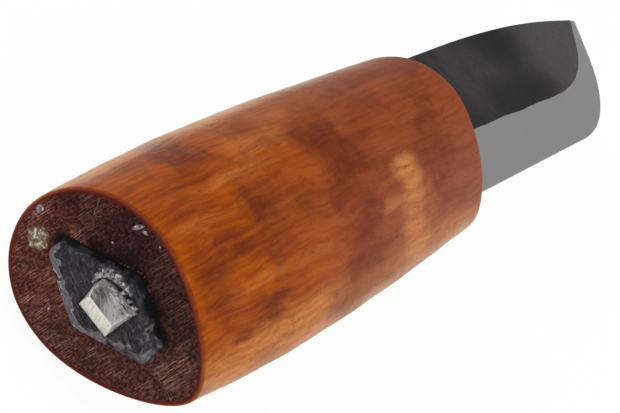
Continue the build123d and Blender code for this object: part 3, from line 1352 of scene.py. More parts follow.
@dataclass(frozen=True)
class ForgedFinish:
    """Black forge scale on the flats and the spine, and a satin ground bevel."""

    scale: Colour = (0.027, 0.0245, 0.028)
    worn: Colour = (0.112, 0.104, 0.108)
    pitted: Colour = (0.018, 0.016, 0.017)
    black: Colour = (0.008, 0.007, 0.008)
    ground: Colour = (0.56, 0.552, 0.55)
    honed: Colour = (0.62, 0.61, 0.605)
    stained: Colour = (0.46, 0.452, 0.45)
    honing: Ways = ((0.17, 0.985, 0.0), (0.985, -0.17, 0.0))
    burnt: tuple[tuple[float, float, float, float, float], ...] = (
        (59.5, 8.0, 12.0, 5.0, 0.68), (60.0, 4.0, 7.0, 5.0, 0.30), (50.0, -1.0, 14.0, 5.0, 0.58),
        (64.0, -1.5, 8.0, 3.5, 0.50),
    )

    def make(self, effects: Effects) -> bpy.types.Material:
        """Builds the material.

        Args:
            effects: The shared node groups.

        Returns:
            The material.
        """
        finish = Finish("blade_steel", effects)
        bench = finish.bench
        ground = bench.mark("ground")
        patch = finish.patches(11.0, 1.0).outputs["Mask"]
        pits = finish.patches(0.9, 1.4)
        scale = bench.over(self.scale, self.worn, patch, 0.5)
        toward_tip = bench.spread(bench.parts(finish.point)["X"], 45.0, 88.0, 0.0, 0.95)
        scale = bench.mix(toward_tip, scale, self.worn)
        for x, y, long, wide, depth in self.burnt:
            # deep enough to reach both flats
            blot = finish.cloud(finish.point, (x, y, 10.0), (long, wide, 60.0), depth)
            scale = bench.mix(blot, scale, self.black)
        scale = bench.over(scale, self.pitted, pits.outputs["Mask"], 0.30)
        hone = finish.strokes(self.honing, length=4.0, spacing=0.22, amount=0.6)
        satin = bench.over(self.ground, self.honed, hone.outputs["Mask"], 0.22)
        stain = finish.patches(14.0, 0.7).outputs["Mask"]
        satin = bench.over(satin, self.stained, stain, 0.25)
        rough = bench.spread(pits.outputs["Mask"], 0.0, 1.0, 0.52, 0.68)
        keen = bench.spread(hone.outputs["Mask"], 0.0, 1.0, 0.36, 0.44)
        finish.set(
            Base_Color=bench.mix(ground, scale, satin),
            Metallic=bench.spread(ground, 0.0, 1.0, 0.3, 0.6),
            Roughness=bench.between(ground, rough, keen),
        )
        pitting = bench.times(pits.outputs["Height"], 1.6)
        lines = bench.times(hone.outputs["Height"], 0.12)
        finish.bump(bench.between(ground, pitting, lines), 0.06)
        return finish.material


@dataclass
class ForgedBlade:
    """The blade: two flats, a bevel on each side that follows the edge, and a thin point.

    All lengths along the blade are from the shoulders, and heights are from the axis.

    Attributes:
        thickness: Thickness at the shoulders, at the end of the straight taper and at the point.
        knee: Where the spine starts to fall.
        belly: The corner under the belly's arc.
    """

    places: Places
    thickness: tuple[float, float, float] = (3.35, 3.05, 0.6)
    taper_start: float = 60.0
    spine_back: float = 11.7
    knee: tuple[float, float] = (34.0, 10.95)
    edge_back: float = -10.0
    belly: tuple[float, float] = (77.8, -11.35)
    belly_radius: float = 42.0
    point_y: float = 6.05
    bevel_angle: float = 11.0
    edge_land: float = 0.12
    ease: float = 0.28
    columns: int = 170
    crowding: float = 1.35
    bevel_rows: int = 14
    flat_rows: int = 18
    ease_rows: int = 4

    def __post_init__(self) -> None:
        """Works out the outline's lines and arcs."""
        length = self.places.point_x - self.places.front_x
        self.length = length
        self.point = np.array([length, self.point_y])
        back = np.array([0.0, self.edge_back])
        corner = np.array(self.belly)
        self.edge_way = (corner - back) / np.linalg.norm(corner - back)
        self.front_way = (self.point - corner) / np.linalg.norm(self.point - corner)
        self.edge_in = np.array([-self.edge_way[1], self.edge_way[0]])
        self.front_in = np.array([-self.front_way[1], self.front_way[0]])
        lean = 1 + float(self.edge_in @ self.front_in)
        self.arc_middle = corner + (self.edge_in + self.front_in) * self.belly_radius / lean
        self.corner = corner
        start = np.array(self.knee)
        way = start - np.array([0.0, self.spine_back])
        self.spine_arc = self._arc(start, way / np.linalg.norm(way), self.point)
        waist = np.array([self.taper_start, self.thickness[1] / 2])
        way = np.array([self.taper_start, (self.thickness[1] - self.thickness[0]) / 2])
        tip = np.array([length, self.thickness[2] / 2])
        self.flat_arc = self._arc(waist, way / np.linalg.norm(way), tip)

    def _arc(self, start: np.ndarray, way: np.ndarray, end: np.ndarray) -> tuple[np.ndarray, float]:
        """The arc that leaves start along way and bends down to end.

        Args:
            start: Where the arc starts.
            way: The way that it starts in.
            end: Where it ends.

        Returns:
            Its middle and its radius.
        """
        down = np.array([way[1], -way[0]])
        chord = end - start
        radius = float(chord @ chord) / (2 * float(down @ chord))
        return start + down * radius, radius

    def spine_at(self, x: float) -> float:
        """Height of the spine.

        Args:
            x: The station.

        Returns:
            The spine's height.
        """
        if x <= self.knee[0]:
            return self.spine_back + (self.knee[1] - self.spine_back) * x / self.knee[0]
        middle, radius = self.spine_arc
        return float(middle[1] + math.sqrt(max(0.0, radius**2 - (x - middle[0]) ** 2)))

    def half_at(self, x: float) -> float:
        """Half the thickness between the flats.

        Args:
            x: The station.

        Returns:
            Half the thickness.
        """
        first, second, _ = self.thickness
        if x <= self.taper_start:
            return (first + (second - first) * x / self.taper_start) / 2
        middle, radius = self.flat_arc
        return float(middle[1] + math.sqrt(max(0.0, radius**2 - (x - middle[0]) ** 2)))

    def edge_gap(self, x: float, y: float) -> float:
        """Distance inward from the ground edge.

        Args:
            x: The station.
            y: The height.

        Returns:
            The distance.
        """
        here = np.array([x, y])
        from_arc = here - self.arc_middle
        if float(from_arc @ self.edge_way) < 0:
            return float((here - self.corner) @ self.edge_in)
        if float(from_arc @ self.front_way) > 0:
            return float((here - self.corner) @ self.front_in)
        return self.belly_radius - float(np.linalg.norm(from_arc))

    def _height_with_gap(self, x: float, gap: float) -> float:
        """The height at which a point lies a given distance in from the edge.

        Args:
            x: The station.
            gap: The distance to keep.

        Returns:
            The height.
        """
        low, high = self.belly[1] - 4.0, self.spine_back + 2.0
        for _ in range(40):
            middle = (low + high) / 2
            if self.edge_gap(x, middle) < gap:
                low = middle
            else:
                high = middle
        return (low + high) / 2

    def _half_section(self, x: float) -> list[tuple[float, float, float]]:
        """Half a section, from the edge to the spine.

        Args:
            x: The station.

        Returns:
            Rows of height, half thickness and how ground the steel is.
        """
        slope = math.tan(math.radians(self.bevel_angle))
        half = self.half_at(x)
        spine = self.spine_at(x)
        edge = min(self._height_with_gap(x, 0.0), spine - 0.02)
        reach = spine - edge
        ease = min(self.ease, 0.4 * half, 0.3 * reach)
        highest = spine - ease - 0.01 * reach
        line = min(self._height_with_gap(x, (half - self.edge_land / 2) / slope), highest)
        wander = 0.22 * waver(x, 0.0, 0.0, 9.0, 4.2) + 0.08 * waver(x, 0.0, 0.0, 2.5, 7.1)
        line = max(edge + 0.1 * reach, min(line + wander, highest))

        def thick(y: float) -> float:
            """Half the thickness at one height."""
            return min(half, self.edge_land / 2 + max(0.0, self.edge_gap(x, y)) * slope)

        rows = []
        for step in range(self.bevel_rows + 1):
            y = edge + (line - edge) * step / self.bevel_rows
            rows.append((y, thick(y), 1.0))
        top = spine - ease
        for step in range(self.flat_rows + 1):
            y = line + (top - line) * (0.004 + 0.996 * step / self.flat_rows)
            rows.append((y, thick(y), 0.0))
        crest = rows[-1][1]
        for step in range(1, self.ease_rows + 1):
            turn = math.pi / 2 * step / self.ease_rows
            rows.append((top + ease * math.sin(turn), crest - ease * (1 - math.cos(turn)), 0.0))
        return rows

    def build(self, finish: bpy.types.Material) -> bpy.types.Object:
        """Makes the blade.

        Args:
            finish: The forged finish.

        Returns:
            The dressed blade.
        """
        mesh = RingMesh("blade_forged")
        axis = self.places.axis_z
        for step in range(self.columns + 1):
            share = step / self.columns
            x = min(self.length * (1 - (1 - share) ** self.crowding), self.length - 0.01)
            half = self._half_section(x)
            ring, ground = [], []
            for side, rows in ((1, half), (-1, half[::-1])):
                for y, z, worn in rows:
                    dent = 0.045 * waver(x, y, side * 5.0, 6.0, 1.3) * (1 - worn)
                    dent += 0.012 * waver(x, y, side * 5.0, 1.6, 6.6) * (1 - worn)
                    fade = min(1.0, z / 0.6)
                    ring.append((self.places.front_x + x, y, axis + side * (z + dent * fade)))
                    ground.append(worn)
            mesh.ring(ring, ground=ground)
        mesh.cap(0)
        mesh.cap(-1)
        piece = mesh.build(crease=6.5)
        return dress(piece, finish)


@dataclass
class ThroughTang:
    """The flat tang that tapers through the handle to a square stem.

    Attributes:
        root: Its section at the blade: the middle, the height and the thickness.
        end: Its section at the butt.
    """

    places: Places
    root: Square = (1.0, 0.0, 12.5, 3.35)
    end: Square = (-0.2, 0.3, 4.2, 3.7)
    ease: float = 0.35
    rings: int = 24

    def _section(self, share: float, x: float) -> list[tuple[float, float, float]]:
        """One section with eased corners.

        Args:
            share: Place along the tang.
            x: The station.

        Returns:
            The ring's points.
        """
        y, z, high, thick = (a + (b - a) * share for a, b in zip(self.end, self.root))
        up, out, cut = high / 2, thick / 2, self.ease
        rows = []
        for a, b in ((1, 1), (-1, 1), (-1, -1), (1, -1)):
            first, second = (up - cut, out), (up, out - cut)
            pair = (second, first) if a * b > 0 else (first, second)
            for dy, dz in pair:
                rows.append((x, y + a * dy, self.places.axis_z + z + b * dz))
        return rows

    def build(self, finish: bpy.types.Material) -> bpy.types.Object:
        """Makes the tang.

        Args:
            finish: The forged finish.

        Returns:
            The dressed tang.
        """
        mesh = RingMesh("blade_tang")
        mesh.ring(self._section(0.0, self.places.washer_x + 0.1))
        for step in range(self.rings + 1):
            share = step / self.rings
            x = self.places.butt_x + (self.places.front_x + 0.4 - self.places.butt_x) * share
            mesh.ring(self._section(share, x))
        mesh.cap(0)
        mesh.cap(-1)
        piece = mesh.build()
        return dress(piece, finish)


# ---- peened head


@dataclass(frozen=True)
class PeenedFinish:
    """Bright filed flank and a brown hammer face, with a painted blue-grey highlight toward its low
    end.
    """

    bright: Colour = (1.0, 0.98, 0.93)
    file_line: Colour = (0.30, 0.28, 0.24)
    nicked: Colour = (0.09, 0.08, 0.07)
    brown_and_shade: Colour = (0.052, 0.036, 0.026)
    grey: Colour = (0.50, 0.495, 0.515)
    smeared: Colour = (0.70, 0.68, 0.65)
    dented: Colour = (0.04, 0.034, 0.03)
    crack: Colour = (0.012, 0.010, 0.010)
    dragged: Ways = ((0.0, 0.86, 0.5), (0.0, 0.5, -0.86))
    filed: Ways = ((-0.55, 0.05, 0.83), (0.0, 1.0, -0.05))

    def make(self, effects: Effects, places: Places) -> bpy.types.Material:
        """Builds the material.

        Args:
            effects: The shared node groups.
            places: The knife's stations.

        Returns:
            The material.
        """
        finish = Finish("peened_steel", effects)
        bench = finish.bench
        patch = finish.patches(1.3, 1.3)
        parts = bench.parts(finish.point)
        # painted highlight: the face turns blue-grey toward its low end, low in Y and high in Z, mixed
        # with random patches
        tilt = 0.6
        lean = bench.math("SUBTRACT", parts["Y"], bench.times(parts["Z"], tilt))
        middle = -tilt * places.axis_z
        low = bench.times(bench.spread(lean, 0.3 + middle, -1.6 + middle), 0.7)
        highlight_and_patches = bench.math("ADD", low, bench.times(patch.outputs["Mask"], 0.42), clamp=True)
        face = bench.mix(highlight_and_patches, self.brown_and_shade, self.grey)
        smear = finish.strokes(self.dragged, length=1.6, spacing=0.22, amount=0.7)
        face = bench.over(face, self.smeared, smear.outputs["Mask"], 0.34)
        dents = bench.spread(patch.outputs["Height"], 0.46, 0.34, 0.0, 0.45)
        face = bench.mix(dents, face, self.dented)
        filing = finish.strokes(self.filed, length=2.6, spacing=0.11, amount=0.72)
        flank = bench.over(self.bright, self.file_line, filing.outputs["Mask"], 0.42)
        nicks = finish.patches(0.35, 1.6).outputs["Height"]
        flank = bench.mix(bench.spread(nicks, 0.40, 0.33, 0.0, 0.8), flank, self.nicked)
        # the hammered mark lays the face's colour on the face, and on the flanks as painted shade
        colour = bench.mix(bench.mark("hammered"), flank, face)
        # painted highlight: the bright colour along the crest, on the flanks with little tearing
        colour = bench.mix(bench.mark("lip"), colour, self.bright)
        finish.set(
            Base_Color=bench.mix(bench.mark("crack"), colour, self.crack),
            Metallic=0.85,
            Roughness=bench.spread(patch.outputs["Mask"], 0.0, 1.0, 0.36, 0.52),
        )
        height = bench.math(
            "ADD",
            bench.times(filing.outputs["Height"], 0.6),
            bench.times(patch.outputs["Height"], 1.6),
        )
        finish.bump(height, 0.10)
        return finish.material


@dataclass
class PeenedHead:
    """The tang's end, hammered over the washer and filed back on one side.

    Attributes:
        foot: Corners on the washer, as heights and thicknesses from the axis.
        crown: Corners of the hammered face.
        brown_and_shade: How far each flank takes the hammer face's dark colour, from the filed one
            round; on the flanks that face away from the light this is painted shade.
        torn: How ragged each flank is.
    """

    places: Places
    foot: tuple[Flat, ...] = (
        (2.15, -2.45), (-2.35, -2.62), (-2.92, 2.15), (0.90, 2.35), (2.35, 2.00), (2.50, 0.90),
    )
    crown: tuple[Flat, ...] = (
        (1.80, -0.15), (-2.32, -0.43), (-2.72, 2.00), (0.90, 2.10), (2.00, 1.60), (2.20, 0.80),
    )
    brown_and_shade: tuple[float, ...] = (0.0, 0.45, 0.95, 0.85, 0.35, 0.10)
    torn: tuple[float, ...] = (0.3, 1.6, 2.4, 1.4, 0.8, 0.4)
    middle_z: float = 0.8
    dish: float = 0.26
    per_side: int = 34
    flank_rings: int = 18
    face_rings: int = 26

    def _by_side(self, values: Sequence[float]) -> np.ndarray:
        """Spreads one value for each side over the ring, eased from side to side."""
        return eased(np.repeat(np.array(values, dtype=float), self.per_side), 6)

    def build(self, effects: Effects) -> bpy.types.Object:
        """Makes the head.

        Args:
            effects: The shared node groups.

        Returns:
            The dressed head.
        """
        foot = closed_outline(self.foot, self.per_side)
        crown = closed_outline(self.crown, self.per_side)
        rise = self.places.washer_x - self.places.head_x
        axis = self.places.axis_z
        # painted shade: each flank darkened by how far it faces away from the light
        flank_shade = self._by_side(self.brown_and_shade)
        torn = self._by_side(self.torn)
        mesh = RingMesh("tang_peened_head")

        def lay(
            rows: np.ndarray, lift: float, dark: np.ndarray, rough: float, crack: float, lip: float
        ) -> None:
            """Adds one ring, with its jags and its marks.

            Args:
                rows: Height and thickness of each point.
                lift: How far out each one is.
                dark: How much of the hammer face's dark colour: the face itself, and painted shade on
                    the flanks.
                rough: How rough.
                crack: How dark the ring is kept: split lines, and painted shade at the foot.
                lip: How much painted highlight the crest takes.
            """
            ring, cracks_and_shade = [], []
            for (y, z), tear in zip(rows, torn):
                jag = rough * tear * waver(y, z, lift, 0.8, 5.5)
                jag += 0.6 * rough * tear * waver(y, z, lift, 0.3, 2.5)
                off = z - self.middle_z
                span = max(0.2, math.hypot(y, off))
                x = self.places.washer_x - min(rise, lift - 0.4 * jag)
                ring.append((x, y + jag * y / span, axis + z + jag * off / span))
                split = smooth(4 * (waver(y, z, 0.3 * lift, 0.38, 21.0) - 0.42))
                split *= min(1.0, tear - 0.6)
                cracks_and_shade.append(max(crack, split if tear > 1.0 else 0.0))
            shown = [lip * max(0.0, 1 - tear / 1.2) for tear in torn]
            mesh.ring(ring, hammered=list(dark), crack=cracks_and_shade, lip=shown)

        # painted shade: the two foot rings are kept dark where the head meets the washer
        lay(foot * 0.93, -0.25, flank_shade, 0.03, 1.0, 0.0)
        lay(foot, 0.0, flank_shade, 0.06, 0.9, 0.0)
        for step in range(1, self.flank_rings + 1):
            share = step / self.flank_rings
            rows = foot + (crown - foot) * share
            swell = 0.05 * math.sin(math.pi * share)
            rows = rows + (rows - rows.mean(axis=0)) * swell
            lay(rows, (rise - 0.06) * share, flank_shade, 0.07, 0.0, smooth((share - 0.88) / 0.12))
        middle = crown.mean(axis=0)
        for step in range(1, self.face_rings + 1):
            share = 0.98 * step / self.face_rings
            hollow = self.dish * smooth(share * 1.2)
            dark = flank_shade + (1.0 - flank_shade) * smooth(share / 0.10)
            lift = rise - 0.04 - hollow
            lay(crown + (middle - crown) * share, lift, dark, 0.06, 0.0, smooth(1 - share / 0.08))
        mesh.cap(0)
        mesh.cap(-1)
        piece = mesh.build(crease=28)
        return dress(piece, PeenedFinish().make(effects, self.places))


# ---- washer


@dataclass(frozen=True)
class WasherFinish:
    """Blue-black forge scale with smoky rubs, pale chips, painted highlights on the rims where it
    flaked, and painted shade on the +Z side.
    """

    scale: Colour = (0.006, 0.006, 0.008)
    bloom: Colour = (0.024, 0.0215, 0.027)
    drawn: Colour = (0.048, 0.044, 0.053)
    smoke: Colour = (0.125, 0.116, 0.132)
    chip: Colour = (0.260, 0.250, 0.268)
    bare_dark: Colour = (0.105, 0.100, 0.114)
    bare_pale: Colour = (0.235, 0.225, 0.245)
    lip: Colour = (0.74, 0.72, 0.72)
    hollow: Colour = (0.004, 0.004, 0.005)

    def make(self, effects: Effects) -> bpy.types.Material:
        """Builds the material.

        Args:
            effects: The shared node groups.

        Returns:
            The material.
        """
        finish = Finish("washer_steel", effects)
        bench = finish.bench
        broad = finish.patches(2.6, 1.5)
        colour = bench.mix(broad.outputs["Mask"], self.scale, self.bloom)
        for top, ways, length, spacing, amount, share in (
            (self.drawn, ((0.0, 0.90, 0.43), (0.0, -0.43, 0.90)), 3.2, 1.0, 0.85, 0.45),
            (self.smoke, ((0.0, 0.95, 0.30), (0.0, -0.30, 0.95)), 1.6, 0.34, 0.62, 0.34),
            (self.smoke, ((0.0, 0.30, 0.95), (0.0, 0.95, -0.30)), 0.9, 0.16, 0.55, 0.25),
        ):
            rub = finish.strokes(ways, length, spacing, amount)
            colour = bench.over(colour, top, rub.outputs["Mask"], share)
        grit = finish.patches(0.42, 1.9)
        rise = grit.outputs["Height"]
        colour = bench.mix(bench.spread(rise, 0.60, 0.70, 0.0, 0.75), colour, self.chip)
        colour = bench.mix(bench.spread(rise, 0.46, 0.34, 0.0, 0.85), colour, self.hollow)
        bare = bench.mix(grit.outputs["Mask"], self.bare_dark, self.bare_pale)
        colour = bench.mix(bench.mark("chip"), colour, bare)
        broken = bench.spread(rise, 0.40, 0.52)
        # painted highlight: the bright colour on the rims of the chips on the -Z side
        colour = bench.over(colour, self.lip, bench.mark("lip"), broken)
        # painted shade: the crack mark lays the near-black hollow colour on the +Z flanks and along
        # the face's +Z edge
        painted_shade = bench.mark("crack")
        rough = bench.spread(grit.outputs["Mask"], 0.0, 1.0, 0.42, 0.66)
        finish.set(
            Base_Color=bench.mix(painted_shade, colour, self.hollow),
            Metallic=bench.spread(painted_shade, 0.0, 1.0, 0.15, 0.0),
            Roughness=bench.math("ADD", rough, bench.times(painted_shade, 0.34)),
            Specular_IOR_Level=0.15,
        )
        height = bench.math("ADD", bench.times(broad.outputs["Height"], 3.0), bench.times(rise, 1.3))
        finish.bump(height, 0.11)
        return finish.material


@dataclass
class LozengeWasher:
    """The hand-cut washer, its flanks sloping out on one side and its edge flaking.

    Attributes:
        foot: Corners on the wood, as heights and thicknesses from the axis.
        face: Corners of the outer face.
        hole: Middle, height and thickness of the square hole.
        pale_flanks: How pale each flank is, from the top end round: painted light on the flanks that
            face the light.
        chips: Where scale broke off the face, each a height, a thickness and a radius.
    """

    places: Places
    foot: tuple[Flat, ...] = (
        (8.80, -1.90), (8.80, 0.80), (-0.20, 4.70), (-7.40, 1.45), (-7.40, -1.85), (1.00, -5.50),
    )
    face: tuple[Flat, ...] = (
        (8.60, -1.00), (8.40, 0.72), (-0.20, 4.50), (-7.20, 1.40), (-7.15, -0.85), (1.05, -4.40),
    )
    hole: Square = (-0.2, 0.3, 4.4, 3.9)
    pale_flanks: tuple[float, ...] = (0.6, 0.0, 0.0, 0.5, 1.0, 1.0)
    chips: tuple[Direction, ...] = (
        (8.45, -0.10, 0.42), (7.15, -1.25, 0.52), (5.95, -2.05, 0.36), (4.85, -2.75, 0.46),
        (3.90, -3.10, 0.62), (3.15, -3.55, 0.46), (-3.70, -2.60, 0.42), (-4.30, -2.05, 0.60),
        (-5.00, -1.30, 0.40),
    )
    per_side: int = 60
    face_rings: int = 44
    flank_rings: int = 11

    def _flaking(self, y: float, z: float) -> float:
        """How far the scale has flaked off the edge near one place, from 0 to 1.

        Args:
            y: Place on the face.
            z: Place across it.

        Returns:
            The depth.
        """
        left = smooth(0.3 - z / 1.6) * smooth((y + 1.5) / 1.5)
        low = 0.55 * smooth((-3.2 - y) / 1.5)
        return max(left, low, 0.10)

    def build(self, effects: Effects) -> bpy.types.Object:
        """Makes the washer.

        Args:
            effects: The shared node groups.

        Returns:
            The dressed washer.
        """
        foot = eased(closed_outline(self.foot, self.per_side), 14)
        face = eased(closed_outline(self.face, self.per_side), 16)
        away = face - np.array(self.hole[:2])
        hole = square_hole(self.hole, face)
        out = away / np.linalg.norm(away, axis=1, keepdims=True)

        flaking = np.array([self._flaking(y, z) for y, z in face])
        bites = [abs(waver(y, z, 0.0, 1.2, 8.8)) + 0.5 * waver(y, z, 0.0, 0.45, 3.3) for y, z in face]
        sway = [0.16 * waver(y, z, 0.0, 2.1, 5.2) + 0.07 * waver(y, z, 0.0, 0.7, 1.9) for y, z in face]
        crest = face - out * (0.12 + 0.36 * flaking * np.array(bites) + sway)[:, None]
        ragged = [
            0.14 * waver(y, z, 0.0, 1.6, 2.2) + 0.06 * waver(y, z, 0.0, 0.5, 6.1) for y, z in foot
        ]
        foot = foot + out * np.array(ragged)[:, None]
        thickness = self.places.butt_x - self.places.washer_x
        axis = self.places.axis_z
        shade = eased(np.repeat(np.array(self.pale_flanks), self.per_side), 20)
        mesh = RingMesh("washer_lozenge")

        def lay(rows: np.ndarray, down: float, rough: float, on_face: bool) -> None:
            """Adds one ring, with its chips, painted highlights on their rims and painted shade.

            Args:
                rows: Height and thickness of each point.
                down: How far below the face.
                rough: How rough.
                on_face: Whether it lies on the face.
            """
            ring, chips, lip_highlights, cracks_and_shade = [], [], [], []
            for (y, z), edge, pale, flake in zip(rows, crest, shade, flaking):
                gap = math.hypot(*(edge - (y, z))) if on_face else 0.0
                roll = smooth((edge[1] + 0.2) / 1.2)
                wide = 0.30 + 0.60 * waver(y, z, 0.0, 1.15, 3.7)
                held = 1.8 * waver(y, z, 0.0, 1.5, 15.3) + 0.8 * flake
                chip = smooth(4 * (wide - gap)) * smooth(3 * held) * (1 - 0.75 * roll)
                for chip_y, chip_z, reach in self.chips:
                    ragged = reach * (1 + 0.45 * waver(y, z, 0.0, 0.5, 2.7))
                    near = math.hypot(y - chip_y, z - chip_z)
                    chip = max(chip, smooth(4.5 * (ragged - near)))
                low = smooth((-3.6 - y) / 1.4) * smooth(1.5 - 0.5 * gap)
                chip = max(chip, 0.7 * low * smooth(5 * (waver(y, z, 0.0, 0.42, 12.4) - 0.18)))
                bump = rough * (waver(y, z, down, 1.6, 1.1) + 0.5 * waver(y, z, down, 0.5, 7.7))
                sink = 0.16 * chip + (0.20 + 0.36 * roll) * smooth(1 - gap / (0.7 + 0.6 * roll))
                lift = (thickness - 0.02 - sink) * (1 - down) - bump
                ring.append((self.places.butt_x - max(0.0, lift), y, axis + z))
                # painted light: pale bare-steel colour, through the chip mark, on the flanks that face
                # the light
                lit_flank = pale * smooth(0.55 + 1.3 * waver(y, z, down, 0.8, 9.4))
                chips.append(max(0.9 * chip, 0.0 if on_face else 0.55 * lit_flank))
                lip_highlights.append(max(1 - abs(2.4 * chip - 1.2), 0.0) ** 2 * smooth(3 * flake - 1.7))
                # painted shade: dark along the face's +Z edge and on the flanks that face away from
                # the light
                painted_shade = 0.75 * roll * smooth(1 - gap / 0.75) if on_face else max(0.0, 1 - 1.7 * pale)
                cracks_and_shade.append(painted_shade * (1 - chip))
            mesh.ring(ring, chip=chips, lip=lip_highlights, crack=cracks_and_shade)

        lay(hole, 1.0, 0.0, True)
        for step in range(self.face_rings + 1):
            lay(hole + (crest - hole) * step / self.face_rings, 0.0, 0.05, True)
        for step in range(1, self.flank_rings + 1):
            share = step / self.flank_rings
            lay(crest + (foot - crest) * share, share, 0.05 * (1 - share), False)
        mesh.close()
        piece = mesh.build(crease=38)
        dress(piece, WasherFinish().make(effects))
        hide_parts(Node.WASHER.value)
        return piece


# ---- small marks on the butt


@dataclass(frozen=True)
class CrustFinish:
    """Dried glue, lint, resin or torn scale: pale crumbs in a darker skin."""

    name: str
    skin: Colour
    crumb: Colour
    metallic: float = 0.0
    heaped: bool = True

    def make(self, effects: Effects) -> bpy.types.Material:
        """Builds the material.

        Args:
            effects: The shared node groups.

        Returns:
            The material.
        """
        finish = Finish(self.name, effects)
        bench = finish.bench
        crumbs = finish.patches(0.6, 1.8)
        pale = bench.spread(crumbs.outputs["Mask"], 0.0, 1.0, 0.15, 1.0)
        if self.heaped:
            pale = bench.times(pale, bench.mark("crumb"))
        finish.set(
            Base_Color=bench.mix(pale, self.skin, self.crumb),
            Roughness=bench.spread(crumbs.outputs["Mask"], 0.0, 1.0, 0.3, 0.65),
            Metallic=self.metallic,
        )
        finish.bump(crumbs.outputs["Height"], 0.08)
        return finish.material


@dataclass
class Crust:
    """A thin, lumpy blot that clings to a face looking along -X.

    Attributes:
        middle: Its middle as height and thickness from the axis.
        reach: Half its size along the height and the thickness.
    """

    name: str
    x: float
    middle: tuple[float, float]
    reach: tuple[float, float]
    thick: float
    turn: float
    seed: float
    around: int = 64
    rings: int = 16

    def build(self, places: Places, finish: bpy.types.Material, slot: Slot) -> bpy.types.Object:
        """Makes the blot.

        Args:
            places: The knife's stations.
            finish: Its material.
            slot: The record's slot. It is not used.

        Returns:
            The dressed blot.
        """
        mesh = RingMesh(self.name)
        turn = math.radians(self.turn)
        for step in range(self.rings + 1):
            share = 1 - step / (self.rings + 1)
            rows, height = [], []
            for k in range(self.around):
                angle = 2 * math.pi * k / self.around
                ragged = 1 + 0.24 * waver(math.cos(angle), math.sin(angle), 0.0, 0.6, self.seed)
                a = self.reach[0] * share * ragged * math.cos(angle)
                b = self.reach[1] * share * ragged * math.sin(angle)
                y = self.middle[0] + a * math.cos(turn) - b * math.sin(turn)
                z = self.middle[1] + a * math.sin(turn) + b * math.cos(turn)
                lump = 0.72 + 0.65 * waver(y, z, 0.0, 0.42, self.seed + 5)
                lump += 0.35 * waver(y, z, 0.0, 0.16, self.seed + 9) - 0.70 * share**6
                height.append(lump)
                rows.append((self.x + 0.03 - self.thick * max(0.0, lump), y, places.axis_z + z))
            mesh.ring(rows, crumb=[smooth(2.2 * (v - 0.50)) for v in height])
        mesh.cap(-1)
        mesh.cap(0)
        piece = mesh.build(60)
        return dress(piece, finish)


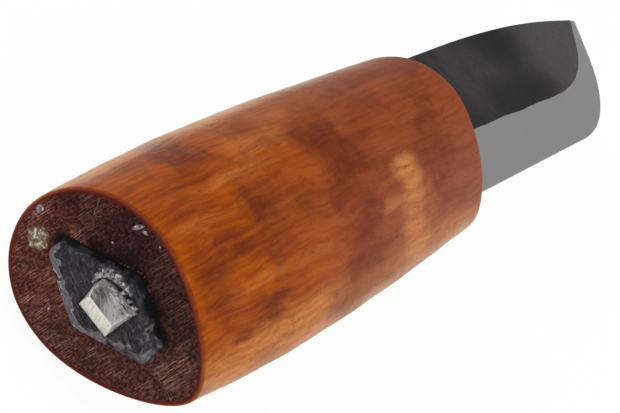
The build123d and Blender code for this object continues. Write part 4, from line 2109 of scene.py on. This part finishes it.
@dataclass
class TornScale:
    """Scale heaped up and torn beside the head when its end was hammered over.

    Attributes:
        heaps: Crest lines, each point a height and thickness from the axis, half the width and
            the rise.
        low: Lowest height and thickness of the heaped patch.
        high: Highest height and thickness of it.
    """

    places: Places
    heaps: tuple[tuple[tuple[float, float, float, float], ...], ...] = (
        (
            (3.35, 2.45, 0.40, 0.32), (2.95, 2.35, 0.68, 0.50), (2.30, 2.75, 0.78, 0.56),
            (1.30, 3.05, 0.66, 0.52), (0.40, 3.10, 0.46, 0.50), (-0.40, 3.10, 0.36, 0.50),
            (-1.05, 2.95, 0.22, 0.35),
        ),
        ((2.75, 0.75, 0.34, 0.80), (2.95, 1.50, 0.42, 0.95), (2.45, 2.10, 0.38, 0.85)),
        ((-0.25, 2.40, 0.26, 0.80), (-0.55, 2.65, 0.20, 0.50)),
        ((-1.35, 2.35, 0.28, 1.00), (-1.65, 2.60, 0.22, 0.60)),
        ((-2.20, 2.25, 0.30, 0.90), (-2.60, 2.50, 0.24, 0.50)),
    )
    low: tuple[float, float] = (-3.1, 0.2)
    high: Flat = (4.4, 4.0)
    step: float = 0.06
    highest: float = 0.85

    def _rise(self, y: float, z: float) -> float:
        """Height of the heap over one place, below 0 where there is none.

        Args:
            y: Place on the washer.
            z: Place across it.

        Returns:
            The rise.
        """
        best = -0.2
        for line in self.heaps:
            for (y0, z0, w0, r0), (y1, z1, w1, r1) in zip(line, line[1:]):
                run = (y1 - y0) ** 2 + (z1 - z0) ** 2
                share = min(1.0, max(0.0, ((y - y0) * (y1 - y0) + (z - z0) * (z1 - z0)) / run))
                gap = math.hypot(y - y0 - (y1 - y0) * share, z - z0 - (z1 - z0) * share)
                wide = (w0 + (w1 - w0) * share) * (1 + 0.35 * waver(y, z, 0.0, 0.35, 4.9))
                best = max(best, (r0 + (r1 - r0) * share) * (1 - (gap / wide) ** 2))
        crumbs = 0.62 + 0.50 * waver(y, z, 0.0, 0.24, 2.2) + 0.34 * waver(y, z, 0.0, 0.12, 6.6)
        return best * crumbs if best > 0 else best

    def build(self, finish: bpy.types.Material) -> bpy.types.Object:
        """Makes the heap as a closed block whose rest lies buried in the washer and the wood.

        Args:
            finish: Its material.

        Returns:
            The dressed heap.
        """
        rows = round((self.high[0] - self.low[0]) / self.step) + 1
        columns = round((self.high[1] - self.low[1]) / self.step) + 1
        points, crumb = [], []
        for layer in range(2):
            for i in range(rows):
                for j in range(columns):
                    y = self.low[0] + i * self.step
                    z = self.low[1] + j * self.step
                    rise = self._rise(y, z)
                    top = min(rise, self.highest) - 0.04 if rise > 0 else -1.42
                    lift = -1.50 if layer else top
                    x = self.places.washer_x - lift
                    points.append((x * MM, y * MM, (self.places.axis_z + z) * MM))
                    torn = waver(y, z, 0.0, 0.55, 8.1)
                    crumb.append(smooth(3.4 * rise + 1.3 * torn - 0.15))
        half = rows * columns
        faces = []
        for i in range(rows - 1):
            for j in range(columns - 1):
                a, b = i * columns + j, (i + 1) * columns + j
                faces.append((a, a + 1, b + 1, b))
                faces.append((a + half, b + half, b + half + 1, a + half + 1))
        rim = [i * columns for i in range(rows)]
        rim += [(rows - 1) * columns + j for j in range(1, columns)]
        rim += [i * columns + columns - 1 for i in range(rows - 2, -1, -1)]
        rim += list(range(columns - 2, 0, -1))
        for a, b in zip(rim, rim[1:] + rim[:1]):
            faces.append((a, b, b + half, a + half))
        mesh = RingMesh("torn_scale")
        mesh.points, mesh.faces, mesh.marks = points, faces, {"crumb": crumb}
        piece = mesh.build(crease=50)
        return dress(piece, finish)


@dataclass
class Lint:
    """A thin fibre that lies on the butt.

    Attributes:
        path: Its points as heights and thicknesses from the axis.
    """

    name: str
    path: tuple[Flat, ...]
    radius: float = 0.035

    def build(self, places: Places, finish: bpy.types.Material) -> bpy.types.Object:
        """Makes the fibre.

        Args:
            places: The knife's stations.
            finish: Its material.

        Returns:
            The dressed fibre.
        """
        curve = bpy.data.curves.new(self.name, "CURVE")
        curve.dimensions = "3D"
        curve.bevel_depth = self.radius * MM
        curve.bevel_resolution = 2
        curve.use_fill_caps = True
        spline = curve.splines.new("NURBS")
        spline.points.add(len(self.path) - 1)
        for index, (item, (y, z)) in enumerate(zip(spline.points, self.path)):
            x = places.butt_x - self.radius - 0.05 * (index % 2)
            item.co = (x * MM, y * MM, (places.axis_z + z) * MM, 1.0)
        spline.order_u = 3
        spline.use_endpoint_u = True
        spline.resolution_u = 6
        piece = bpy.data.objects.new(self.name, curve)
        bpy.context.collection.objects.link(piece)
        return dress(piece, finish)


# ---- stage, lamps and camera


@dataclass
class Studio:
    """A white floor under soft light, and the camera.

    Attributes:
        lamp_rows: Each lamp's name, place and side in metres, and power in watts.
        eye: The camera's place from the middle of the butt, in millimetres.
        right: The picture's right side, as a direction in the row frame.
        down: The picture's lower side.
        ahead: The way that the camera looks.
    """

    floor_reach: float = 6.0
    paper: Colour = (0.86, 0.86, 0.86)
    veil: float = 0.95
    ambient: float = 0.45
    dome: float = 0.04
    lamp_rows: tuple[tuple[str, Direction, float, float], ...] = (
        ("lamp_over", (-0.25, 0.15, 1.1), 0.9, 5.6), ("lamp_butt", (-1.0, -0.35, 0.35), 0.8, 3.6),
        ("lamp_edge", (-0.1, -1.1, 0.5), 0.9, 4.4), ("lamp_spine", (0.0, 1.15, 0.45), 0.9, 5.6),
    )
    lens: float = 223.43
    eye: Direction = (-379.863, -44.539, 175.368)
    right: Direction = (0.33467, -0.64796, 0.68421)
    down: Direction = (-0.17482, -0.75617, -0.63059)
    ahead: Direction = (0.92598, 0.09142, -0.36635)

    def floor(self) -> None:
        """Lays the floor, which looks white and keeps a soft shadow."""
        reach = self.floor_reach
        mesh = bpy.data.meshes.new("floor")
        corners = [(-reach, -reach, 0), (reach, -reach, 0), (reach, reach, 0), (-reach, reach, 0)]
        mesh.from_pydata(corners, [], [(0, 1, 2, 3)])
        floor = bpy.data.objects.new("floor", mesh)
        bpy.context.collection.objects.link(floor)
        material = bpy.data.materials.new("floor_white")
        material.use_nodes = True
        tree = material.node_tree
        tree.nodes.clear()
        bench = Bench(tree)
        paper = bench.add("ShaderNodeBsdfDiffuse")
        bench.feed(paper.inputs["Color"], self.paper)
        # reflections see a sheet of white paper, and a dim room past its edge
        where = bench.point_mm()
        off = bench.vector("ADD", where, (40.0, 0.0, 0.0))
        past = bench.spread(
            bench.length(bench.vector("MULTIPLY", off, (0.62, 1.0, 0.0))), 55.0, 130.0, 0.0, 0.8
        )
        path = bench.add("ShaderNodeLightPath")
        dim = bench.times(past, path.outputs["Is Glossy Ray"])
        glow = bench.add("ShaderNodeEmission")
        near = bench.mix(path.outputs["Is Glossy Ray"], (1.0, 1.0, 1.0), (0.80, 0.78, 0.70))
        bench.feed(glow.inputs["Color"], bench.mix(dim, near, (0.0, 0.0, 0.0)))
        blend = bench.add("ShaderNodeMixShader")
        bench.feed(blend.inputs[0], bench.times(self._shown(bench), self.veil))
        tree.links.new(paper.outputs[0], blend.inputs[1])
        tree.links.new(glow.outputs[0], blend.inputs[2])
        out = bench.add("ShaderNodeOutputMaterial")
        tree.links.new(blend.outputs[0], out.inputs["Surface"])
        mesh.materials.append(material)

    def _shown(self, bench: Bench) -> Socket:
        """1 for rays from the camera, a mirror or glass.

        Args:
            bench: The floor's bench.

        Returns:
            The result's socket.
        """
        path = bench.add("ShaderNodeLightPath")
        seen = bench.math("MAXIMUM", path.outputs["Is Camera Ray"], path.outputs["Is Glossy Ray"])
        return bench.math("MAXIMUM", seen, path.outputs["Is Transmission Ray"])

    def world(self) -> None:
        """White behind the object, a dim dome above it, and even light."""
        world = bpy.data.worlds.new("studio")
        bpy.context.scene.world = world
        world.use_nodes = True
        tree = world.node_tree
        tree.nodes.clear()
        bench = Bench(tree)
        where = bench.add("ShaderNodeTexCoord")
        parts = bench.add("ShaderNodeSeparateXYZ")
        bench.feed(parts.inputs[0], where.outputs["Generated"])
        path = bench.add("ShaderNodeLightPath")
        height = bench.spread(parts.outputs["Z"], -0.02, 0.38)
        mirror = bench.mix(height, (0.30, 0.30, 0.30), (self.dome,) * 3)
        seen = bench.mix(path.outputs["Is Camera Ray"], mirror, (1.0, 1.0, 1.0))
        soft = bench.mix(self._shown(bench), (self.ambient,) * 3, seen)
        light = bench.add("ShaderNodeBackground")
        bench.feed(light.inputs["Color"], soft)
        light.inputs["Strength"].default_value = 1.0
        out = bench.add("ShaderNodeOutputWorld")
        tree.links.new(light.outputs[0], out.inputs["Surface"])

    def lamps(self) -> None:
        """Hangs square soft lamps that face the knife."""
        for name, place, size, power in self.lamp_rows:
            data = bpy.data.lights.new(name, "AREA")
            data.shape = "SQUARE"
            data.size = size
            data.energy = power
            lamp = bpy.data.objects.new(name, data)
            lamp.location = place
            lamp.rotation_mode = "QUATERNION"
            lamp.rotation_quaternion = Vector(place).to_track_quat("Z", "Y")
            bpy.context.collection.objects.link(lamp)

    def camera(self, places: Places) -> None:
        """Sets the camera close behind the butt, looking along the knife.

        Args:
            places: The knife's stations.
        """
        data = bpy.data.cameras.new("camera")
        data.sensor_width = 36.0
        data.lens = self.lens
        right, down, ahead = Vector(self.right), Vector(self.down), Vector(self.ahead)
        turn = Matrix((right, -down, -ahead)).transposed()
        camera = bpy.data.objects.new("camera", data)
        camera.rotation_mode = "QUATERNION"
        camera.rotation_quaternion = turn.to_quaternion()
        place = Vector((places.butt_x, 0.0, places.axis_z)) + Vector(self.eye)
        camera.location = place * MM
        bpy.context.collection.objects.link(camera)
        bpy.context.scene.camera = camera

    def build(self, places: Places) -> None:
        """Sets up the floor, the light and the camera.

        Args:
            places: The knife's stations.
        """
        self.floor()
        self.world()
        self.lamps()
        self.camera(places)
        bpy.context.scene.view_settings.view_transform = "Standard"


# ---- the knife


class Knife:
    """Every piece of the knife."""

    def __init__(self, places: Places, effects: Effects) -> None:
        """Takes the stations and the shared node groups.

        Args:
            places: The knife's stations.
            effects: The shared node groups.
        """
        self.places = places
        self.effects = effects

    def build(self, frame: dict) -> None:
        """Builds the pieces in order.

        Args:
            frame: The loaded frame.
        """
        steel = ForgedFinish().make(self.effects)
        BurlHandle(self.places).build(self.effects)
        blade = ForgedBlade(self.places).build(steel)
        ThroughTang(self.places).build(steel)
        PeenedHead(self.places).build(self.effects)
        LozengeWasher(self.places).build(self.effects)
        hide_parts(Node.BLADE.value)
        resin = CrustFinish("bedding_resin", (0.20, 0.15, 0.07), (0.42, 0.35, 0.20), heaped=False)
        bedding = frame["nodes"][Node.BEDDING.value]
        bedding.data.materials.clear()
        bedding.data.materials.append(resin.make(self.effects))
        LOG.info("dressed %s", bedding.name)
        self.marks()

    def marks(self) -> None:
        """Lays the burrs round the head, and the glue, flecks and fibres on the butt."""
        x = self.places.butt_x
        glue = CrustFinish("dried_glue", (0.11, 0.060, 0.032), (0.66, 0.61, 0.46)).make(self.effects)
        grey = CrustFinish("grey_fleck", (0.10, 0.07, 0.064), (0.46, 0.40, 0.37)).make(self.effects)
        burr = CrustFinish("torn_steel", (0.045, 0.041, 0.046), (0.52, 0.50, 0.505), 0.5).make(
            self.effects
        )
        TornScale(self.places).build(burr)
        for name, middle, reach, thick, turn, seed in (
            ("grey_spot", (12.90, 0.80), (0.50, 0.60), 0.08, 0.0, 2.0),
            ("pale_fleck_upper", (4.00, 8.25), (0.78, 0.34), 0.16, -62.0, 3.0),
            ("pale_fleck_lower", (3.05, 8.45), (0.48, 0.26), 0.12, -20.0, 4.0),
            ("pale_fleck_small", (4.70, 4.80), (0.16, 0.14), 0.08, 0.0, 5.0),
            ("pale_fleck_side", (0.75, 8.70), (0.20, 0.12), 0.08, 30.0, 6.0),
            ("pale_smear", (4.25, -6.20), (0.50, 0.14), 0.06, 60.0, 7.0),
        ):
            Crust(name, x, middle, reach, thick, turn, seed).build(self.places, grey, Slot.RESIN)
        Crust("scuff", self.places.washer_x, (6.10, 1.60), (0.42, 0.10), 0.10, -35.0, 8.0).build(
            self.places, burr, Slot.WASHER
        )
        Crust("glue_spot", x, (10.75, -1.73), (1.42, 1.34), 0.20, 20.0, 1.0).build(
            self.places, glue, Slot.RESIN
        )
        lint = CrustFinish("lint", (0.10, 0.07, 0.065), (0.30, 0.24, 0.22), heaped=False).make(
            self.effects
        )
        for name, path in (
            ("lint_top", ((9.2, 7.0), (8.8, 6.4), (8.5, 5.4), (7.9, 5.3), (7.6, 5.9))),
            ("lint_low", ((-11.3, -1.8), (-11.9, -1.9), (-12.3, -2.3), (-12.2, -1.5))),
            ("lint_star", ((-8.8, -1.3), (-9.4, -1.0), (-9.9, -1.5))),
        ):
            Lint(name, path, 0.022).build(self.places, lint)


def main() -> None:
    """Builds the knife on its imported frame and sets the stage."""
    logging.basicConfig(level=logging.INFO, format="%(name)s: %(message)s")
    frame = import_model()
    places = Places.from_frame()
    effects = Effects()
    Knife(places, effects).build(frame)
    Studio().build(places)
    bpy.context.view_layer.update()


if __name__ == "__main__":
    main()
